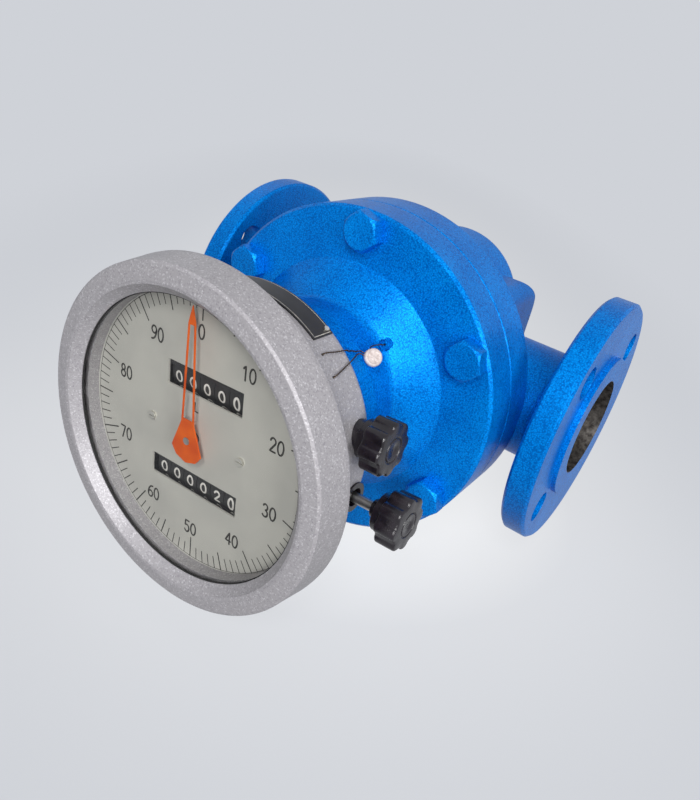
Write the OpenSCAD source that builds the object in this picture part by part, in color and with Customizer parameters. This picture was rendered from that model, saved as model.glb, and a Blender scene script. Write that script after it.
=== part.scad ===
// Oval gear flow meter with flanged ends, a twin register and a sweep pointer.
// Origin: centre of the inlet flange's gasket face. +X runs along the flow, +Z is up
// and the dial faces -Y. Millimetres.

/* [Pipe ends] */
// Distance between the two gasket faces
face_to_face = 250; // [240:1:300]
// Bore of the pipe ends
bore_d = 40; // [32:1:44]
// Diameter of the machined entry in each gasket face
entry_d = 57; // [50:1:60]
// Depth of the machined entry
entry_depth = 12; // [4:1:16]
// Outside diameter of the pipe flanges
flange_d = 145; // [140:1:160]
// Thickness of the pipe flanges without the raised face
flange_t = 14; // [12:1:20]
// Diameter of the raised gasket face
raised_face_d = 84; // [78:1:88]
// Height of the raised gasket face
raised_face_h = 3; // [2:0.5:4]
// Bolt circle of the pipe flanges
pipe_bolt_circle_d = 110; // [106:1:116]
// Bolt holes in the pipe flanges
pipe_hole_d = 18; // [14:1:19]
// Number of bolt holes in each pipe flange
pipe_holes = 4; // [4:4:8]
// Outside diameter of the pipe necks
neck_d = 66; // [60:1:72]

/* [Measuring chamber] */
// Half length of an oval gear's pitch line
gear_long = 32.4; // [31:0.1:34]
// Half width of an oval gear's pitch line
gear_short = 19.6; // [18.5:0.1:21]
// Height of the oval gears
gear_height = 61.6; // [50:0.5:66]
// Teeth on each oval gear
gear_teeth = 34; // [30:4:38]
// Gap between the tooth tips and the chamber wall
tip_clearance = 0.35; // [0.3:0.05:0.6]
// Gap at each end face of the oval gears
end_clearance = 0.3; // [0.3:0.05:0.6]
// Diameter of the oval gears' shafts
gear_shaft_d = 12; // [10:0.5:14]
// Wall of the bushes
bush_wall = 2.95; // [2:0.05:4]
// Cast wall round the chamber
chamber_wall = 13; // [9:0.5:14]
// Thickness of the rear bearing plate
rear_plate_t = 15.8; // [12:0.1:18]
// Thickness of the pot's rear wall
pot_floor_t = 14; // [11:0.5:18]
// Thickness of the front chamber plate
chamber_plate_t = 10; // [9:0.5:10]

/* [Body and cover] */
// Distance of the joint face in front of the pipe axis
joint_face = 54; // [52:0.5:58]
// Diameter of the body and cover flanges
joint_flange_d = 187; // [184:1:200]
// Thickness of the body's flange
body_flange_t = 24; // [22:0.5:26]
// Thickness of the cover's flange
cover_flange_t = 23.5; // [22:0.5:28]
// Width of the port chest along the pipe
chest_w = 112; // [104:1:120]
// Height of the port chest
chest_h = 108; // [100:1:116]
// Bolt circle of the cover
cover_bolt_circle_d = 166; // [164:1:167]
// Number of cover bolts
cover_bolt_count = 6; // [6:1:8]
// Thread diameter of the cover bolts
cover_bolt_d = 12; // [10:1:12]
// Width across the flats of the bolt heads
cover_bolt_af = 19; // [17:1:20]
// Diameter of the hub where it meets the cover's flange
hub_base_d = 131; // [124:1:136]
// Height of the hub's cone
hub_cone_h = 15.5; // [13:0.5:18]
// Diameter of the cover's neck
hub_neck_d = 92; // [88:1:95]
// Length of the cover's neck
hub_neck_l = 19; // [17:0.5:26]

/* [Adapter and case] */
// Diameter of the neck adapter
adapter_d = 98.4; // [97:0.2:104]
// Length of the neck adapter
adapter_l = 30; // [28:0.5:40]
// Turn of the counter head on the neck
head_turn = 3.65; // [-5:0.05:5]
// Outside diameter of the counter case
case_d = 130; // [128:0.5:134]
// Length of the counter case up to the bezel
case_l = 39; // [38:0.5:44]
// Wall of the counter case
case_wall = 3.5; // [2.5:0.25:4]
// Outside diameter of the bezel at its rear edge
bezel_d = 163; // [160:0.5:170]
// Diameter of the opening in the bezel
bezel_opening_d = 133; // [130:0.5:134]
// Height of the bezel
bezel_h = 18.7; // [17.5:0.1:22]
// Thickness of the glass
glass_t = 2.5; // [2:0.25:3]

/* [Dial and register] */
// Distance of the dial plate's face in front of the case's bezel seat
dial_forward = 4; // [3:0.25:4.5]
// Width of the upper window
upper_window_w = 44.5; // [42:0.5:46]
// Height of the upper window
upper_window_h = 11.7; // [10:0.1:13]
// Width of the lower window
lower_window_w = 53.7; // [51:0.5:54]
// Height of the lower window
lower_window_h = 10.7; // [10:0.1:12]
// Diameter of the number drums
drum_d = 26; // [24:0.5:26.5]
// Width of a number drum
drum_w = 8.2; // [7.6:0.1:8.3]
// Distance from one drum to the next
drum_pitch = 8.6; // [8.6:0.05:8.7]
// Distance from the pointer's centre to its tip
pointer_reach = 62.8; // [58:0.2:64]

/* [Knobs] */
// Diameter of the knob heads
knob_d = 26; // [22:0.5:27]
// Length of the knob heads
knob_l = 10.5; // [8:0.5:12]
// Travel of the knobs between pushed in and pulled out
knob_travel = 14; // [10:0.5:15]
// Distance of each knob above or below the dial's axis
knob_offset = 15.5; // [15:0.5:18]

/* [Hidden] */
$fn = 72;

// Clearances: fixed fits, running fits, screws in plain holes, free gaps and stacked pieces
fit = 0.05;
run = 0.05;
screw_gap = 0.5;
free_gap = 0.3;
seat_gap = 0.05;

// Colours as the photograph shows them
enamel_blue = [0.04, 0.40, 0.78];
case_silver = [0.66, 0.65, 0.66];
dial_grey = [0.68, 0.70, 0.66];
bright_steel = [0.78, 0.79, 0.80];
bronze = [0.70, 0.50, 0.28];
magnet_grey = [0.30, 0.30, 0.32];
knob_black = [0.10, 0.09, 0.10];
drum_black = [0.06, 0.06, 0.06];
pointer_orange = [0.91, 0.31, 0.10];
seal_white = [0.92, 0.88, 0.82];
wire_brown = [0.20, 0.14, 0.12];

// Pipe ends, measured from the meter's centre
meter_x = face_to_face / 2;
flange_back_x = meter_x - raised_face_h - flange_t;
neck_flare_l = 10;
neck_flare_r = 2;
edge_round = 1.5;

// Oval gears
centre_distance = gear_long + gear_short;
gear_y = centre_distance / 2;
oval_steps = 360;
function oval_r(a) = 2 * gear_long * gear_short / (centre_distance - (gear_long - gear_short) * cos(2 * a));
function oval_point(a) = oval_r(a) * [cos(a), sin(a)];
oval_lengths = [for (i = 0, s = 0; i <= oval_steps;
    s = s + norm(oval_point(i + 1) - oval_point(i)), i = i + 1) s];
oval_pitch = oval_lengths[oval_steps] / gear_teeth;
oval_tip = -0.12;
oval_root = -1.9 * oval_pitch / PI;
chamber_r = gear_long + oval_tip + tip_clearance;
lobe_r = chamber_r + chamber_wall;

// Faces along the dial axis, as distances in front of the pipe axis
chest_step = 4;
chest_corner_r = 10;
chest_edge_r = 20;
body_flange_back = joint_face - body_flange_t;
plate_recess = 16;
plate_seat = joint_face - plate_recess;
plate_front = plate_seat + chamber_plate_t;
chamber_back = plate_seat - gear_height - 2 * end_clearance;
pot_floor = chamber_back - rear_plate_t;
body_back = pot_floor - pot_floor_t;
chest_back = body_back + chest_step;
cover_face = joint_face + cover_flange_t;
neck_start = cover_face + hub_cone_h;
neck_end = neck_start + hub_neck_l;
case_back = neck_end + adapter_l;
case_floor = case_back + case_wall;
bezel_back = case_back + case_l;
dial_face = bezel_back + dial_forward;
bezel_front = bezel_back + bezel_h;

// Joint flange, its screws and its seal
joint_flange_r = joint_flange_d / 2;
cover_bolt_r = cover_bolt_circle_d / 2;
bolt_head_h = 8;
bolt_chamfer_r = 0.47 * cover_bolt_af;
bolt_engagement = 20;
root_fillet = 6;
seal_cord_r = 1.2;
seal_line_r = 73.4;
seal_groove_depth = 2.5;
seal_groove_half_w = 1.6;
plate_r = 68.7;
rear_plate_r = chamber_r - 0.1;

// Screws of the two chamber plates
plate_screw_d = 5;
plate_screw_depth = 7;
plate_screw_r = plate_r - 4.7;
plate_screw_count = 6;
rear_screw_x = 20;
rear_screw_y = 14;
rear_screw_recess = 5.5;
rear_screw_depth = 8;
tap_runout = 0.7;
function cap_head_r(d) = 0.85 * d;
function cap_head_h(d) = 0.8 * d;

// Bushes and shafts
gear_shaft_r = gear_shaft_d / 2;
gear_bush_r = gear_shaft_r + run + bush_wall;
gear_shaft_end_gap = 2;
centre_shaft_r = 3;
centre_bush_r = centre_shaft_r + run + bush_wall;
centre_bush_l = 8;

// Train in front of the chamber plate: pinion on the upper shaft and centre wheel
pinion_teeth = 16;
centre_wheel_teeth = 36;
first_pair_module = centre_distance / (pinion_teeth + centre_wheel_teeth);
wet_gear_t = 4;
wet_gear_back = plate_front + 0.8;

// Magnetic coupling through the separating disc
wet_cavity_r = 34;
web_opening_r = 24;
magnet_r = 20;
magnet_cup_t = 6.5;
disc_t = 3;
clamp_ring_t = 3;
drive_magnet_back = joint_face + 0.7;
clamp_ring_back = drive_magnet_back + magnet_cup_t - 2.2;
disc_back = clamp_ring_back + clamp_ring_t;
web_back = disc_back + disc_t;
driven_magnet_back = web_back + 1;
driven_magnet_t = 5.5;
web_front = web_back + 7;
magnet_count = 6;
magnet_ring_r = 14;
magnet_piece_r = 3.2;
magnet_piece_t = 3;
clamp_screw_r = 28.5;
clamp_screw_count = 4;
clamp_screw_d = 3;
clamp_screw_depth = 4.5;

// Reduction gearbox in the neck
dry_cavity_r = 38;
gearbox_plate_r = 36;
gearbox_plate_t = 3;
gearbox_back = web_front;
train_module = 0.5;
train_pinion_teeth = 10;
train_wheel_teeth = 60;
train_distance = train_module * (train_pinion_teeth + train_wheel_teeth) / 2;
train_gear_t = 4;
train_step = 7;
train_first = gearbox_back + gearbox_plate_t + 2;
train_second = train_first + train_step;
train_third = train_second + train_step;
gearbox_front = train_third + train_gear_t + 4;
second_arbor_angle = 60;
arbor_r = 1.2;
pillar_r = 2.5;
pillar_stub_r = 1.5;
pillar_stub_l = 3;
pillar_circle_r = 31;
pillar_angles = [120, 205, 290];
pillar_nut_h = 2;
pillar_nut_af = 5.5;

// Output shaft
output_shaft_r = 1.75;
follower_tip_r = 0.9;
follower_shaft_r = 1.8;
sleeve_r = 6;
sleeve_back = neck_end + 6;
sleeve_l = 12;

// Adapter and case
adapter_r = adapter_d / 2;
spigot_l = 5;
spigot_r = dry_cavity_r - fit;
adapter_bore_r = 34;
adapter_bevel = 0.6;
case_r = case_d / 2;
case_inner_r = case_r - case_wall;
case_round = 3;
case_hole_r = 12;
bezel_rim = (bezel_d - bezel_opening_d) / 2;
case_flange_r = bezel_d / 2 - 0.18 * bezel_rim;
case_screw_d = 5;
case_screw_r = 43.5;
case_screw_depth = 10;
case_screw_count = 4;

// Register: a frame in the case, two drum rows and their cross shafts
upper_drums = 5;
lower_drums = 6;
frame_t = 1.5;
frame_half_h = 34;
frame_lug_r = 5;
side_plate_x = 29.6;
drum_r = drum_d / 2;
drum_front = dial_face - 1.6;
drum_s = drum_front - drum_r;
upper_drum_y = 26.2;
lower_drum_y = -24.4;
upper_first_x = -13.2;
lower_first_x = -20.5;
drum_shaft_r = 1.5;
drum_hub_r = 4;
cross_shaft_r = 1.5;
cross_shaft_y = 9;
register_gear_teeth = 26;
register_gear_module = 0.75;
register_distance = register_gear_teeth * register_gear_module;
register_gear_t = 1.6;
upper_register_x = 25.6;
lower_register_x = 27.7;
worm_wheel_teeth = 10;
worm_module = 1;
worm_wheel_r = worm_wheel_teeth * worm_module / 2;
worm_r = cross_shaft_y - worm_wheel_r;
worm_wheel_t = 3;
function cross_shaft_s(y) = drum_s - sqrt(register_distance ^ 2 - (abs(y) - cross_shaft_y) ^ 2);
upper_cross_s = cross_shaft_s(upper_drum_y);
lower_cross_s = cross_shaft_s(lower_drum_y);
bridge_back = bezel_back - 7;
bridge_t = 2;
bridge_half_h = 5;
post_x = 27.4;
post_r = 3;
dial_t = 1;
dial_seat = dial_face - dial_t;
dial_r = 67.8;
dial_hole_r = 2.4;
dial_screw_r = 1;
dial_screw_head_r = 2;
dial_screw_head_h = 1.1;
dial_screw_depth = 4;
dial_slot_w = 0.6;
upper_window_x = 3.95;
upper_window_y = 26.15;
lower_window_x = -0.15;
lower_window_y = -24.45;

// Glass stack under the bezel
opening_r = bezel_opening_d / 2;
dial_ring_h = 6.2;
glass_back = dial_face + dial_ring_h;
glass_front = glass_back + glass_t;
gasket_t = 0.8;
lip_back = glass_front + gasket_t;
glass_r = case_flange_r - 0.03 * bezel_rim;
bezel_crest_r = opening_r + 0.26 * bezel_rim;
bezel_round = 0.1 * bezel_rim;
bezel_shoulder_r = bezel_d / 2 - bezel_round;
bezel_shoulder_drop = 1.7;
gasket_lip = 0.4;

// Pointer
pointer_tip_gap = 3.7;
dial_ring_r = pointer_reach + pointer_tip_gap;
pointer_t = 0.6;
pointer_lift = 4.6;
pointer_back = dial_face + pointer_lift;
pointer_shaft_end = pointer_back + pointer_t + 0.3;
pointer_hub_r = 4;
pointer_hub_h = 2.5;
pointer_rail_end = pointer_reach - 8;
pointer_rail_w = 0.75;
pointer_tip_half_w = 2.1;
pointer_root_y = 9;
pointer_root_half_w = 3.7;
pointer_shield_half_w = 9;
pointer_shield_y = -5;
pointer_tail_half_w = 6;
pointer_tail_y = -9;
pointer_end_y = -11;

// Knobs
knob_s = case_floor + 4;
knob_hub_r = 9;
knob_hub_l = 4;
knob_neck_r = 4.2;
knob_valley = 1.6;
knob_ring_r = 5.4;
knob_ring_w = 0.8;
knob_ring_depth = 0.5;
knob_lobes = 8;
knob_lobe_r = 3.4;
knob_shaft_r = 2.5;
gland_front_x = case_r + 0.4;
gland_r = 7.2;
gland_seat_x = case_r - 3.5;
gland_stem_r = 5.8;
collar_r = 4.6;
collar_t = 3;
shaft_end_x = side_plate_x + frame_t + 1;
dog_r = 3.4;
dog_t = 4;
dog_slot_w = 1.2;
dog_slot_depth = 1.5;
gland_stem_x = shaft_end_x + dog_t + collar_t + knob_travel + 2 * free_gap;

// Nameplate on top of the case
nameplate_back = case_back + 3;
nameplate_w = 13;
nameplate_t = 0.8;
nameplate_half_angle = 35.5;
rivet_angle = 33.2;
rivet_s = nameplate_back + 2.3;
rivet_head_h = 0.85;
rivet_r = 1.2;
rivet_shank_r = 0.8;

// Seal: a drilled screw, a wire through two holes in the case and a crimped disc
seal_screw_s = neck_start - 1;
seal_screw_angle = 42.2;
seal_screw_seat_r = hub_neck_d / 2 + 1;
seal_screw_head_r = 2.6;
seal_screw_head_h = 5;
seal_screw_shank_r = 2;
seal_screw_depth = 5.5;
wire_hole_r = seal_screw_seat_r + 3.3;
seal_disc_r = 4.6;
seal_disc_t = 3;
seal_disc_tilt = 30;
seal_disc_rest_r = max(adapter_d, hub_neck_d) / 2 + 0.4;
seal_disc_mid_r = seal_disc_rest_r + seal_disc_r * sin(seal_disc_tilt)
    + seal_disc_t / 2 * cos(seal_disc_tilt);
seal_disc_edge = 1.2;
seal_disc_recess = 0.3;
seal_disc_s = neck_end - 0.5;
seal_disc_angle = 46.3;
wire_r = 0.4;
wire_sides = 8;
wire_steps = 3;

// Frames of reference. on_dial_axis: x to the right, y up and z towards the reader.
module at_meter() { translate([meter_x, 0, 0]) children(); }
module on_dial_axis() { at_meter() rotate([90, 0, 0]) children(); }
module in_head() { on_dial_axis() rotate([0, 0, head_turn]) children(); }

// Solid cylinder between two faces along the local z axis
module rod(r, from, to) { translate([0, 0, from]) cylinder(r = r, h = to - from); }

// Hollow cylinder between two faces along the local z axis
module pipe(outer, inner, from, to) {
    difference() {
        rod(outer, from, to);
        rod(inner, from - 1, to + 1);
    }
}

// Rod along the local x axis
module cross_rod(r, from, to) { rotate([0, 90, 0]) rod(r, from, to); }

// Hexagonal prism between two faces
module hexagon(af, from, to) {
    translate([0, 0, from]) cylinder(r = af / 2 / cos(30), h = to - from, $fn = 6);
}

// Copies round a circle of radius r; the first angle is measured from +x
module around(count, r, first = 0) {
    for (i = [0:count - 1]) rotate([0, 0, first + i * 360 / count]) translate([r, 0, 0]) children();
}

// Places on a cylinder round the dial axis, with z outwards; angle is from the top
module outward(angle, s) { translate([0, 0, s]) rotate([0, 0, 90 - angle]) rotate([0, 90, 0]) children(); }

// Cap screw with its head's underside at z = 0 and its shank below
module cap_screw(d, length) {
    rod(d / 2, -length, 0);
    difference() {
        rod(cap_head_r(d), 0, cap_head_h(d));
        hexagon(0.8 * d, 0.35 * d, d);
    }
}

// Points of an arc in a profile
function arc(centre, r, from, to, steps) =
    [for (i = [0:steps]) let (a = from + (to - from) * i / steps) centre + r * [cos(a), sin(a)]];

// Outline of a spur gear with straight-flanked teeth, the first one on +x
function spur_points(teeth, m) =
    [for (i = [0:teeth - 1], c = [[-0.26, -1.1], [-0.13, 0.8], [0.13, 0.8], [0.26, -1.1]])
        let (a = (i + c[0]) * 360 / teeth, r = m * (teeth / 2 + c[1])) r * [cos(a), sin(a)]];

// Spur gear between two faces, turned by phase
module spur(teeth, m, from, to, phase = 0) {
    rotate([0, 0, phase]) translate([0, 0, from]) linear_extrude(to - from) polygon(spur_points(teeth, m));
}

// Turn that meshes a gear lying at angle a from a gear that is turned by phase
function mesh_phase(a, phase, teeth1, teeth2) = a + 180 - (phase - a) * teeth1 / teeth2 + 180 / teeth2;

// Outline of an oval gear: teeth evenly spaced along the pitch line, one on the long axis.
// The tips end just inside the pitch line, so the pair stays clear at a steady ratio.
function oval_angle(length) =
    let (s = length < 0 ? length + oval_lengths[oval_steps] : length,
         i = max([for (k = [0:oval_steps - 1]) if (oval_lengths[k] <= s) k]))
    i + (s - oval_lengths[i]) / (oval_lengths[i + 1] - oval_lengths[i]);
function oval_slope(a) =
    let (base = centre_distance - (gear_long - gear_short) * cos(2 * a))
    -4 * gear_long * gear_short * (gear_long - gear_short) * sin(2 * a) / base ^ 2;
function oval_normal(a) =
    let (dx = oval_slope(a) * cos(a) - oval_r(a) * sin(a), dy = oval_slope(a) * sin(a) + oval_r(a) * cos(a))
    [dy, -dx] / norm([dx, dy]);
function oval_gear_points() =
    [for (i = [0:gear_teeth - 1], c = [[-0.31, oval_root], [-0.15, oval_tip],
                                       [0.15, oval_tip], [0.31, oval_root]])
        let (a = oval_angle((i + c[0]) * oval_pitch)) oval_point(a) + c[1] * oval_normal(a)];

// Both chamber lobes, or any other pair of circles on the gear axes
module lobes(r, from, to) { for (y = [-gear_y, gear_y]) translate([0, y, 0]) rod(r, from, to); }

// Casting outline round the two lobes with a rounded rear edge
module lobe_casting() {
    rear_round = 8;
    for (y = [-gear_y, gear_y]) translate([0, y, 0]) rotate_extrude() lobe_profile(rear_round);
    translate([0, gear_y, 0]) rotate([90, 0, 0]) linear_extrude(2 * gear_y) {
        lobe_profile(rear_round);
        mirror([1, 0]) lobe_profile(rear_round);
    }
}
module lobe_profile(rear_round) {
    translate([0, body_back]) square([lobe_r - rear_round, body_flange_back + 1 - body_back]);
    translate([0, body_back + rear_round]) square([lobe_r, body_flange_back + 1 - body_back - rear_round]);
    intersection() {
        translate([lobe_r - rear_round, body_back + rear_round]) circle(rear_round);
        translate([0, body_back]) square([lobe_r, 2 * rear_round]);
    }
}

// Rectangle with round corners, centred
module rounded_rect(w, h, r) {
    square([w - 2 * r, h], center = true);
    square([w, h - 2 * r], center = true);
    for (x = [-1, 1], y = [-1, 1]) translate([x * (w / 2 - r), y * (h / 2 - r)]) circle(r);
}

// Port chest that the pipe necks run into
module port_chest() {
    depth = body_flange_back + 1 - chest_back;
    intersection() {
        translate([0, 0, chest_back]) linear_extrude(depth) rounded_rect(chest_w, chest_h, chest_corner_r);
        translate([0, 0, chest_back]) rotate([0, 90, 0]) linear_extrude(chest_w + 2, center = true)
            translate([-depth, 0]) rounded_rect(2 * depth, chest_h + 2, chest_edge_r);
    }
}

// One pipe end: neck, flared root and flange, turned about the pipe axis; side is -1 or 1
module pipe_end(side) {
    neck_r = neck_d / 2;
    rim_r = flange_d / 2;
    rotate([0, side * 90, 0]) rotate_extrude() polygon(concat(
        [[0, 0], [neck_r, 0]],
        [[neck_r, flange_back_x - neck_flare_l], [neck_r + neck_flare_r, flange_back_x]],
        [[rim_r - edge_round, flange_back_x], [rim_r, flange_back_x + edge_round]],
        [[rim_r, flange_back_x + flange_t - edge_round], [rim_r - edge_round, flange_back_x + flange_t]],
        [[raised_face_d / 2, flange_back_x + flange_t], [raised_face_d / 2, meter_x], [0, meter_x]]));
}

// Holes of one pipe end
module pipe_end_holes(side) {
    rotate([0, side * 90, 0]) {
        rod(bore_d / 2, -1, meter_x + 1);
        rod(entry_d / 2, meter_x - entry_depth, meter_x + 1);
        around(pipe_holes, pipe_bolt_circle_d / 2, 180 / pipe_holes)
            rod(pipe_hole_d / 2, flange_back_x - 1, meter_x + 1);
    }
}

// Places of the screws that hold the two chamber plates
module front_plate_screws() { around(plate_screw_count, plate_screw_r) children(); }
module rear_plate_screws() {
    for (x = [-1, 1], y = [-1, 1]) translate([x * rear_screw_x, y * (gear_y + rear_screw_y), 0]) children();
}

module meter_body() {
    color(enamel_blue) at_meter() difference() {
        union() {
            rotate([90, 0, 0]) {
                lobe_casting();
                port_chest();
                translate([0, 0, body_flange_back]) rotate_extrude() polygon([[0, 0],
                    [joint_flange_r - edge_round, 0], [joint_flange_r, edge_round],
                    [joint_flange_r, body_flange_t - edge_round / 2],
                    [joint_flange_r - edge_round / 2, body_flange_t], [0, body_flange_t]]);
            }
            for (side = [-1, 1]) pipe_end(side);
        }
        for (side = [-1, 1]) pipe_end_holes(side);
        rotate([90, 0, 0]) {
            lobes(chamber_r, pot_floor, joint_face);
            rod(plate_r + free_gap, plate_seat, joint_face + 1);
            difference() {
                rod(seal_line_r + seal_groove_half_w, joint_face - seal_groove_depth, joint_face + 1);
                rod(seal_line_r - seal_groove_half_w, joint_face - seal_groove_depth - 1, joint_face + 2);
            }
            around(cover_bolt_count, cover_bolt_r, 90)
                rod(cover_bolt_d / 2 + fit, body_flange_back - 1, joint_face + 1);
            front_plate_screws()
                rod(plate_screw_d / 2 + fit, plate_seat - plate_screw_depth - tap_runout, plate_seat + 1);
            rear_plate_screws()
                rod(plate_screw_d / 2 + fit, pot_floor - rear_screw_depth - tap_runout, pot_floor + 1);
        }
    }
}

module rear_bearing_plate() {
    color(bright_steel) on_dial_axis() difference() {
        lobes(rear_plate_r, pot_floor, chamber_back);
        lobes(gear_bush_r + fit, pot_floor - 1, chamber_back + 1);
        rear_plate_screws() {
            rod((plate_screw_d + screw_gap) / 2, pot_floor - 1, chamber_back + 1);
            rod(cap_head_r(plate_screw_d) + screw_gap, chamber_back - rear_screw_recess, chamber_back + 1);
        }
    }
}

module chamber_plate() {
    color(bright_steel) on_dial_axis() difference() {
        rod(plate_r, plate_seat, plate_front);
        lobes(gear_bush_r + fit, plate_seat - 1, plate_front + 1);
        rod(centre_bush_r + fit, plate_front - centre_bush_l, plate_front + 1);
        front_plate_screws() rod((plate_screw_d + screw_gap) / 2, plate_seat - 1, plate_front + 1);
    }
}

module gear_bushes() {
    color(bronze) on_dial_axis() {
        for (y = [-gear_y, gear_y]) translate([0, y, 0]) {
            pipe(gear_bush_r, gear_shaft_r + run, pot_floor, chamber_back);
            pipe(gear_bush_r, gear_shaft_r + run, plate_seat, plate_front);
        }
        pipe(centre_bush_r, centre_shaft_r + run, plate_front - centre_bush_l, plate_front);
    }
}

module chamber_screws() {
    color(bright_steel) on_dial_axis() {
        front_plate_screws() translate([0, 0, plate_front])
            cap_screw(plate_screw_d, chamber_plate_t + plate_screw_depth);
        rear_plate_screws() translate([0, 0, chamber_back - rear_screw_recess])
            cap_screw(plate_screw_d, rear_plate_t - rear_screw_recess + rear_screw_depth);
    }
}

module cover_o_ring() {
    color(knob_black) on_dial_axis() translate([0, 0, joint_face - seal_groove_depth + seal_cord_r])
        rotate_extrude() translate([seal_line_r, 0]) circle(seal_cord_r, $fn = 24);
}

module front_cover() {
    hub_r = hub_base_d / 2;
    neck_r = hub_neck_d / 2;
    slope = [hub_cone_h, hub_r - neck_r] / norm([hub_cone_h, hub_r - neck_r]);
    fillet_s = neck_start + root_fillet * (1 - slope[0]) / slope[1];
    fillet_from = 180 + atan2(slope[1], slope[0]);
    color(enamel_blue) on_dial_axis() difference() {
        rotate_extrude() polygon(concat(
            [[0, joint_face], [joint_flange_r - edge_round / 2, joint_face]],
            [[joint_flange_r, joint_face + edge_round / 2], [joint_flange_r, cover_face - edge_round]],
            [[joint_flange_r - edge_round, cover_face], [hub_r, cover_face]],
            arc([neck_r + root_fillet, fillet_s], root_fillet, fillet_from, 180, 5),
            [[neck_r, neck_end], [0, neck_end]]));
        rod(wet_cavity_r, joint_face - 1, web_back);
        rod(web_opening_r, joint_face, web_front + 1);
        rod(dry_cavity_r, web_front, neck_end + 1);
        around(cover_bolt_count, cover_bolt_r, 90)
            rod(cover_bolt_d / 2 + screw_gap, joint_face - 1, cover_face + 1);
        around(clamp_screw_count, clamp_screw_r, 45)
            rod(clamp_screw_d / 2 + fit, web_back - 1, web_back + clamp_screw_depth + tap_runout);
        for (a = pillar_angles) rotate([0, 0, a]) translate([pillar_circle_r, 0, 0])
            rod(pillar_stub_r + fit, web_front - pillar_stub_l - tap_runout, web_front + 1);
        outward(seal_screw_angle, seal_screw_s) {
            rod(seal_screw_shank_r + fit, seal_screw_seat_r - seal_screw_depth - tap_runout,
                seal_screw_seat_r + 1);
            rod(seal_screw_head_r + screw_gap, seal_screw_seat_r, hub_r);
        }
    }
}

module cover_bolts() {
    color(enamel_blue) on_dial_axis() around(cover_bolt_count, cover_bolt_r, 90) {
        rod(cover_bolt_d / 2, joint_face - bolt_engagement, cover_face + bolt_head_h / 2);
        intersection() {
            rotate([0, 0, 15]) hexagon(cover_bolt_af, cover_face, cover_face + bolt_head_h);
            translate([0, 0, cover_face]) rotate_extrude() polygon([[0, 0], [cover_bolt_af, 0],
                [bolt_chamfer_r + bolt_head_h, 1], [bolt_chamfer_r, bolt_head_h], [0, bolt_head_h]]);
        }
    }
}

module separating_disc() {
    color(bright_steel) on_dial_axis() difference() {
        rod(wet_cavity_r - fit, disc_back, web_back);
        around(clamp_screw_count, clamp_screw_r, 45)
            rod((clamp_screw_d + screw_gap) / 2, disc_back - 1, web_back + 1);
    }
}

module clamp_ring() {
    color(bright_steel) on_dial_axis() difference() {
        pipe(wet_cavity_r - fit, magnet_r + 3, clamp_ring_back, disc_back);
        around(clamp_screw_count, clamp_screw_r, 45)
            rod((clamp_screw_d + screw_gap) / 2, clamp_ring_back - 1, disc_back + 1);
    }
}

module clamp_ring_screws() {
    color(bright_steel) on_dial_axis() around(clamp_screw_count, clamp_screw_r, 45)
        translate([0, 0, clamp_ring_back]) rotate([180, 0, 0])
            cap_screw(clamp_screw_d, clamp_ring_t + disc_t + clamp_screw_depth);
}

module gearbox_frame() {
    color(bronze) on_dial_axis() {
        gearbox_plate(gearbox_back, follower_shaft_r);
        gearbox_plate(gearbox_front, output_shaft_r);
    }
    color(bright_steel) on_dial_axis() for (a = pillar_angles) rotate([0, 0, a])
        translate([pillar_circle_r, 0, 0]) {
            rod(pillar_stub_r, web_front - pillar_stub_l,
                gearbox_front + gearbox_plate_t + 1.25 * pillar_nut_h);
            rod(pillar_r, gearbox_back + gearbox_plate_t + seat_gap, gearbox_front - seat_gap);
            difference() {
                translate([0, 0, gearbox_front + gearbox_plate_t + seat_gap])
                    hexagon(pillar_nut_af, 0, pillar_nut_h);
                rod(pillar_stub_r + fit, gearbox_front, gearbox_front + 2 * gearbox_plate_t);
            }
        }
}
module gearbox_plate(from, centre_hole_r) {
    difference() {
        rod(gearbox_plate_r, from, from + gearbox_plate_t);
        rod(centre_hole_r + run, from - 1, from + gearbox_plate_t + 1);
        for (a = pillar_angles) rotate([0, 0, a]) translate([pillar_circle_r, 0, 0])
            rod(pillar_stub_r + fit, from - 1, from + gearbox_plate_t + 1);
        for (a = [0, second_arbor_angle]) rotate([0, 0, a]) translate([train_distance, 0, 0])
            rod(arbor_r + run, from - 1, from + gearbox_plate_t + 1);
    }
}

module neck_adapter() {
    color(enamel_blue) on_dial_axis() difference() {
        rotate_extrude() polygon([[adapter_bore_r, neck_end - spigot_l], [spigot_r, neck_end - spigot_l],
            [spigot_r, neck_end], [adapter_r - adapter_bevel, neck_end],
            [adapter_r, neck_end + adapter_bevel], [adapter_r, case_back], [adapter_bore_r, case_back]]);
        rotate([0, 0, head_turn]) around(case_screw_count, case_screw_r)
            rod(case_screw_d / 2 + fit, case_back - case_screw_depth - tap_runout, case_back + 1);
    }
}

module case_screws() {
    color(bright_steel) in_head() around(case_screw_count, case_screw_r)
        translate([0, 0, case_floor + frame_t])
            cap_screw(case_screw_d, frame_t + case_wall + case_screw_depth);
}

// Axis of a knob: x runs outwards along the knob's shaft; y_sign is 1 for the upper one
module on_knob_axis(y_sign) { in_head() translate([0, y_sign * knob_offset, knob_s]) children(); }

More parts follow.
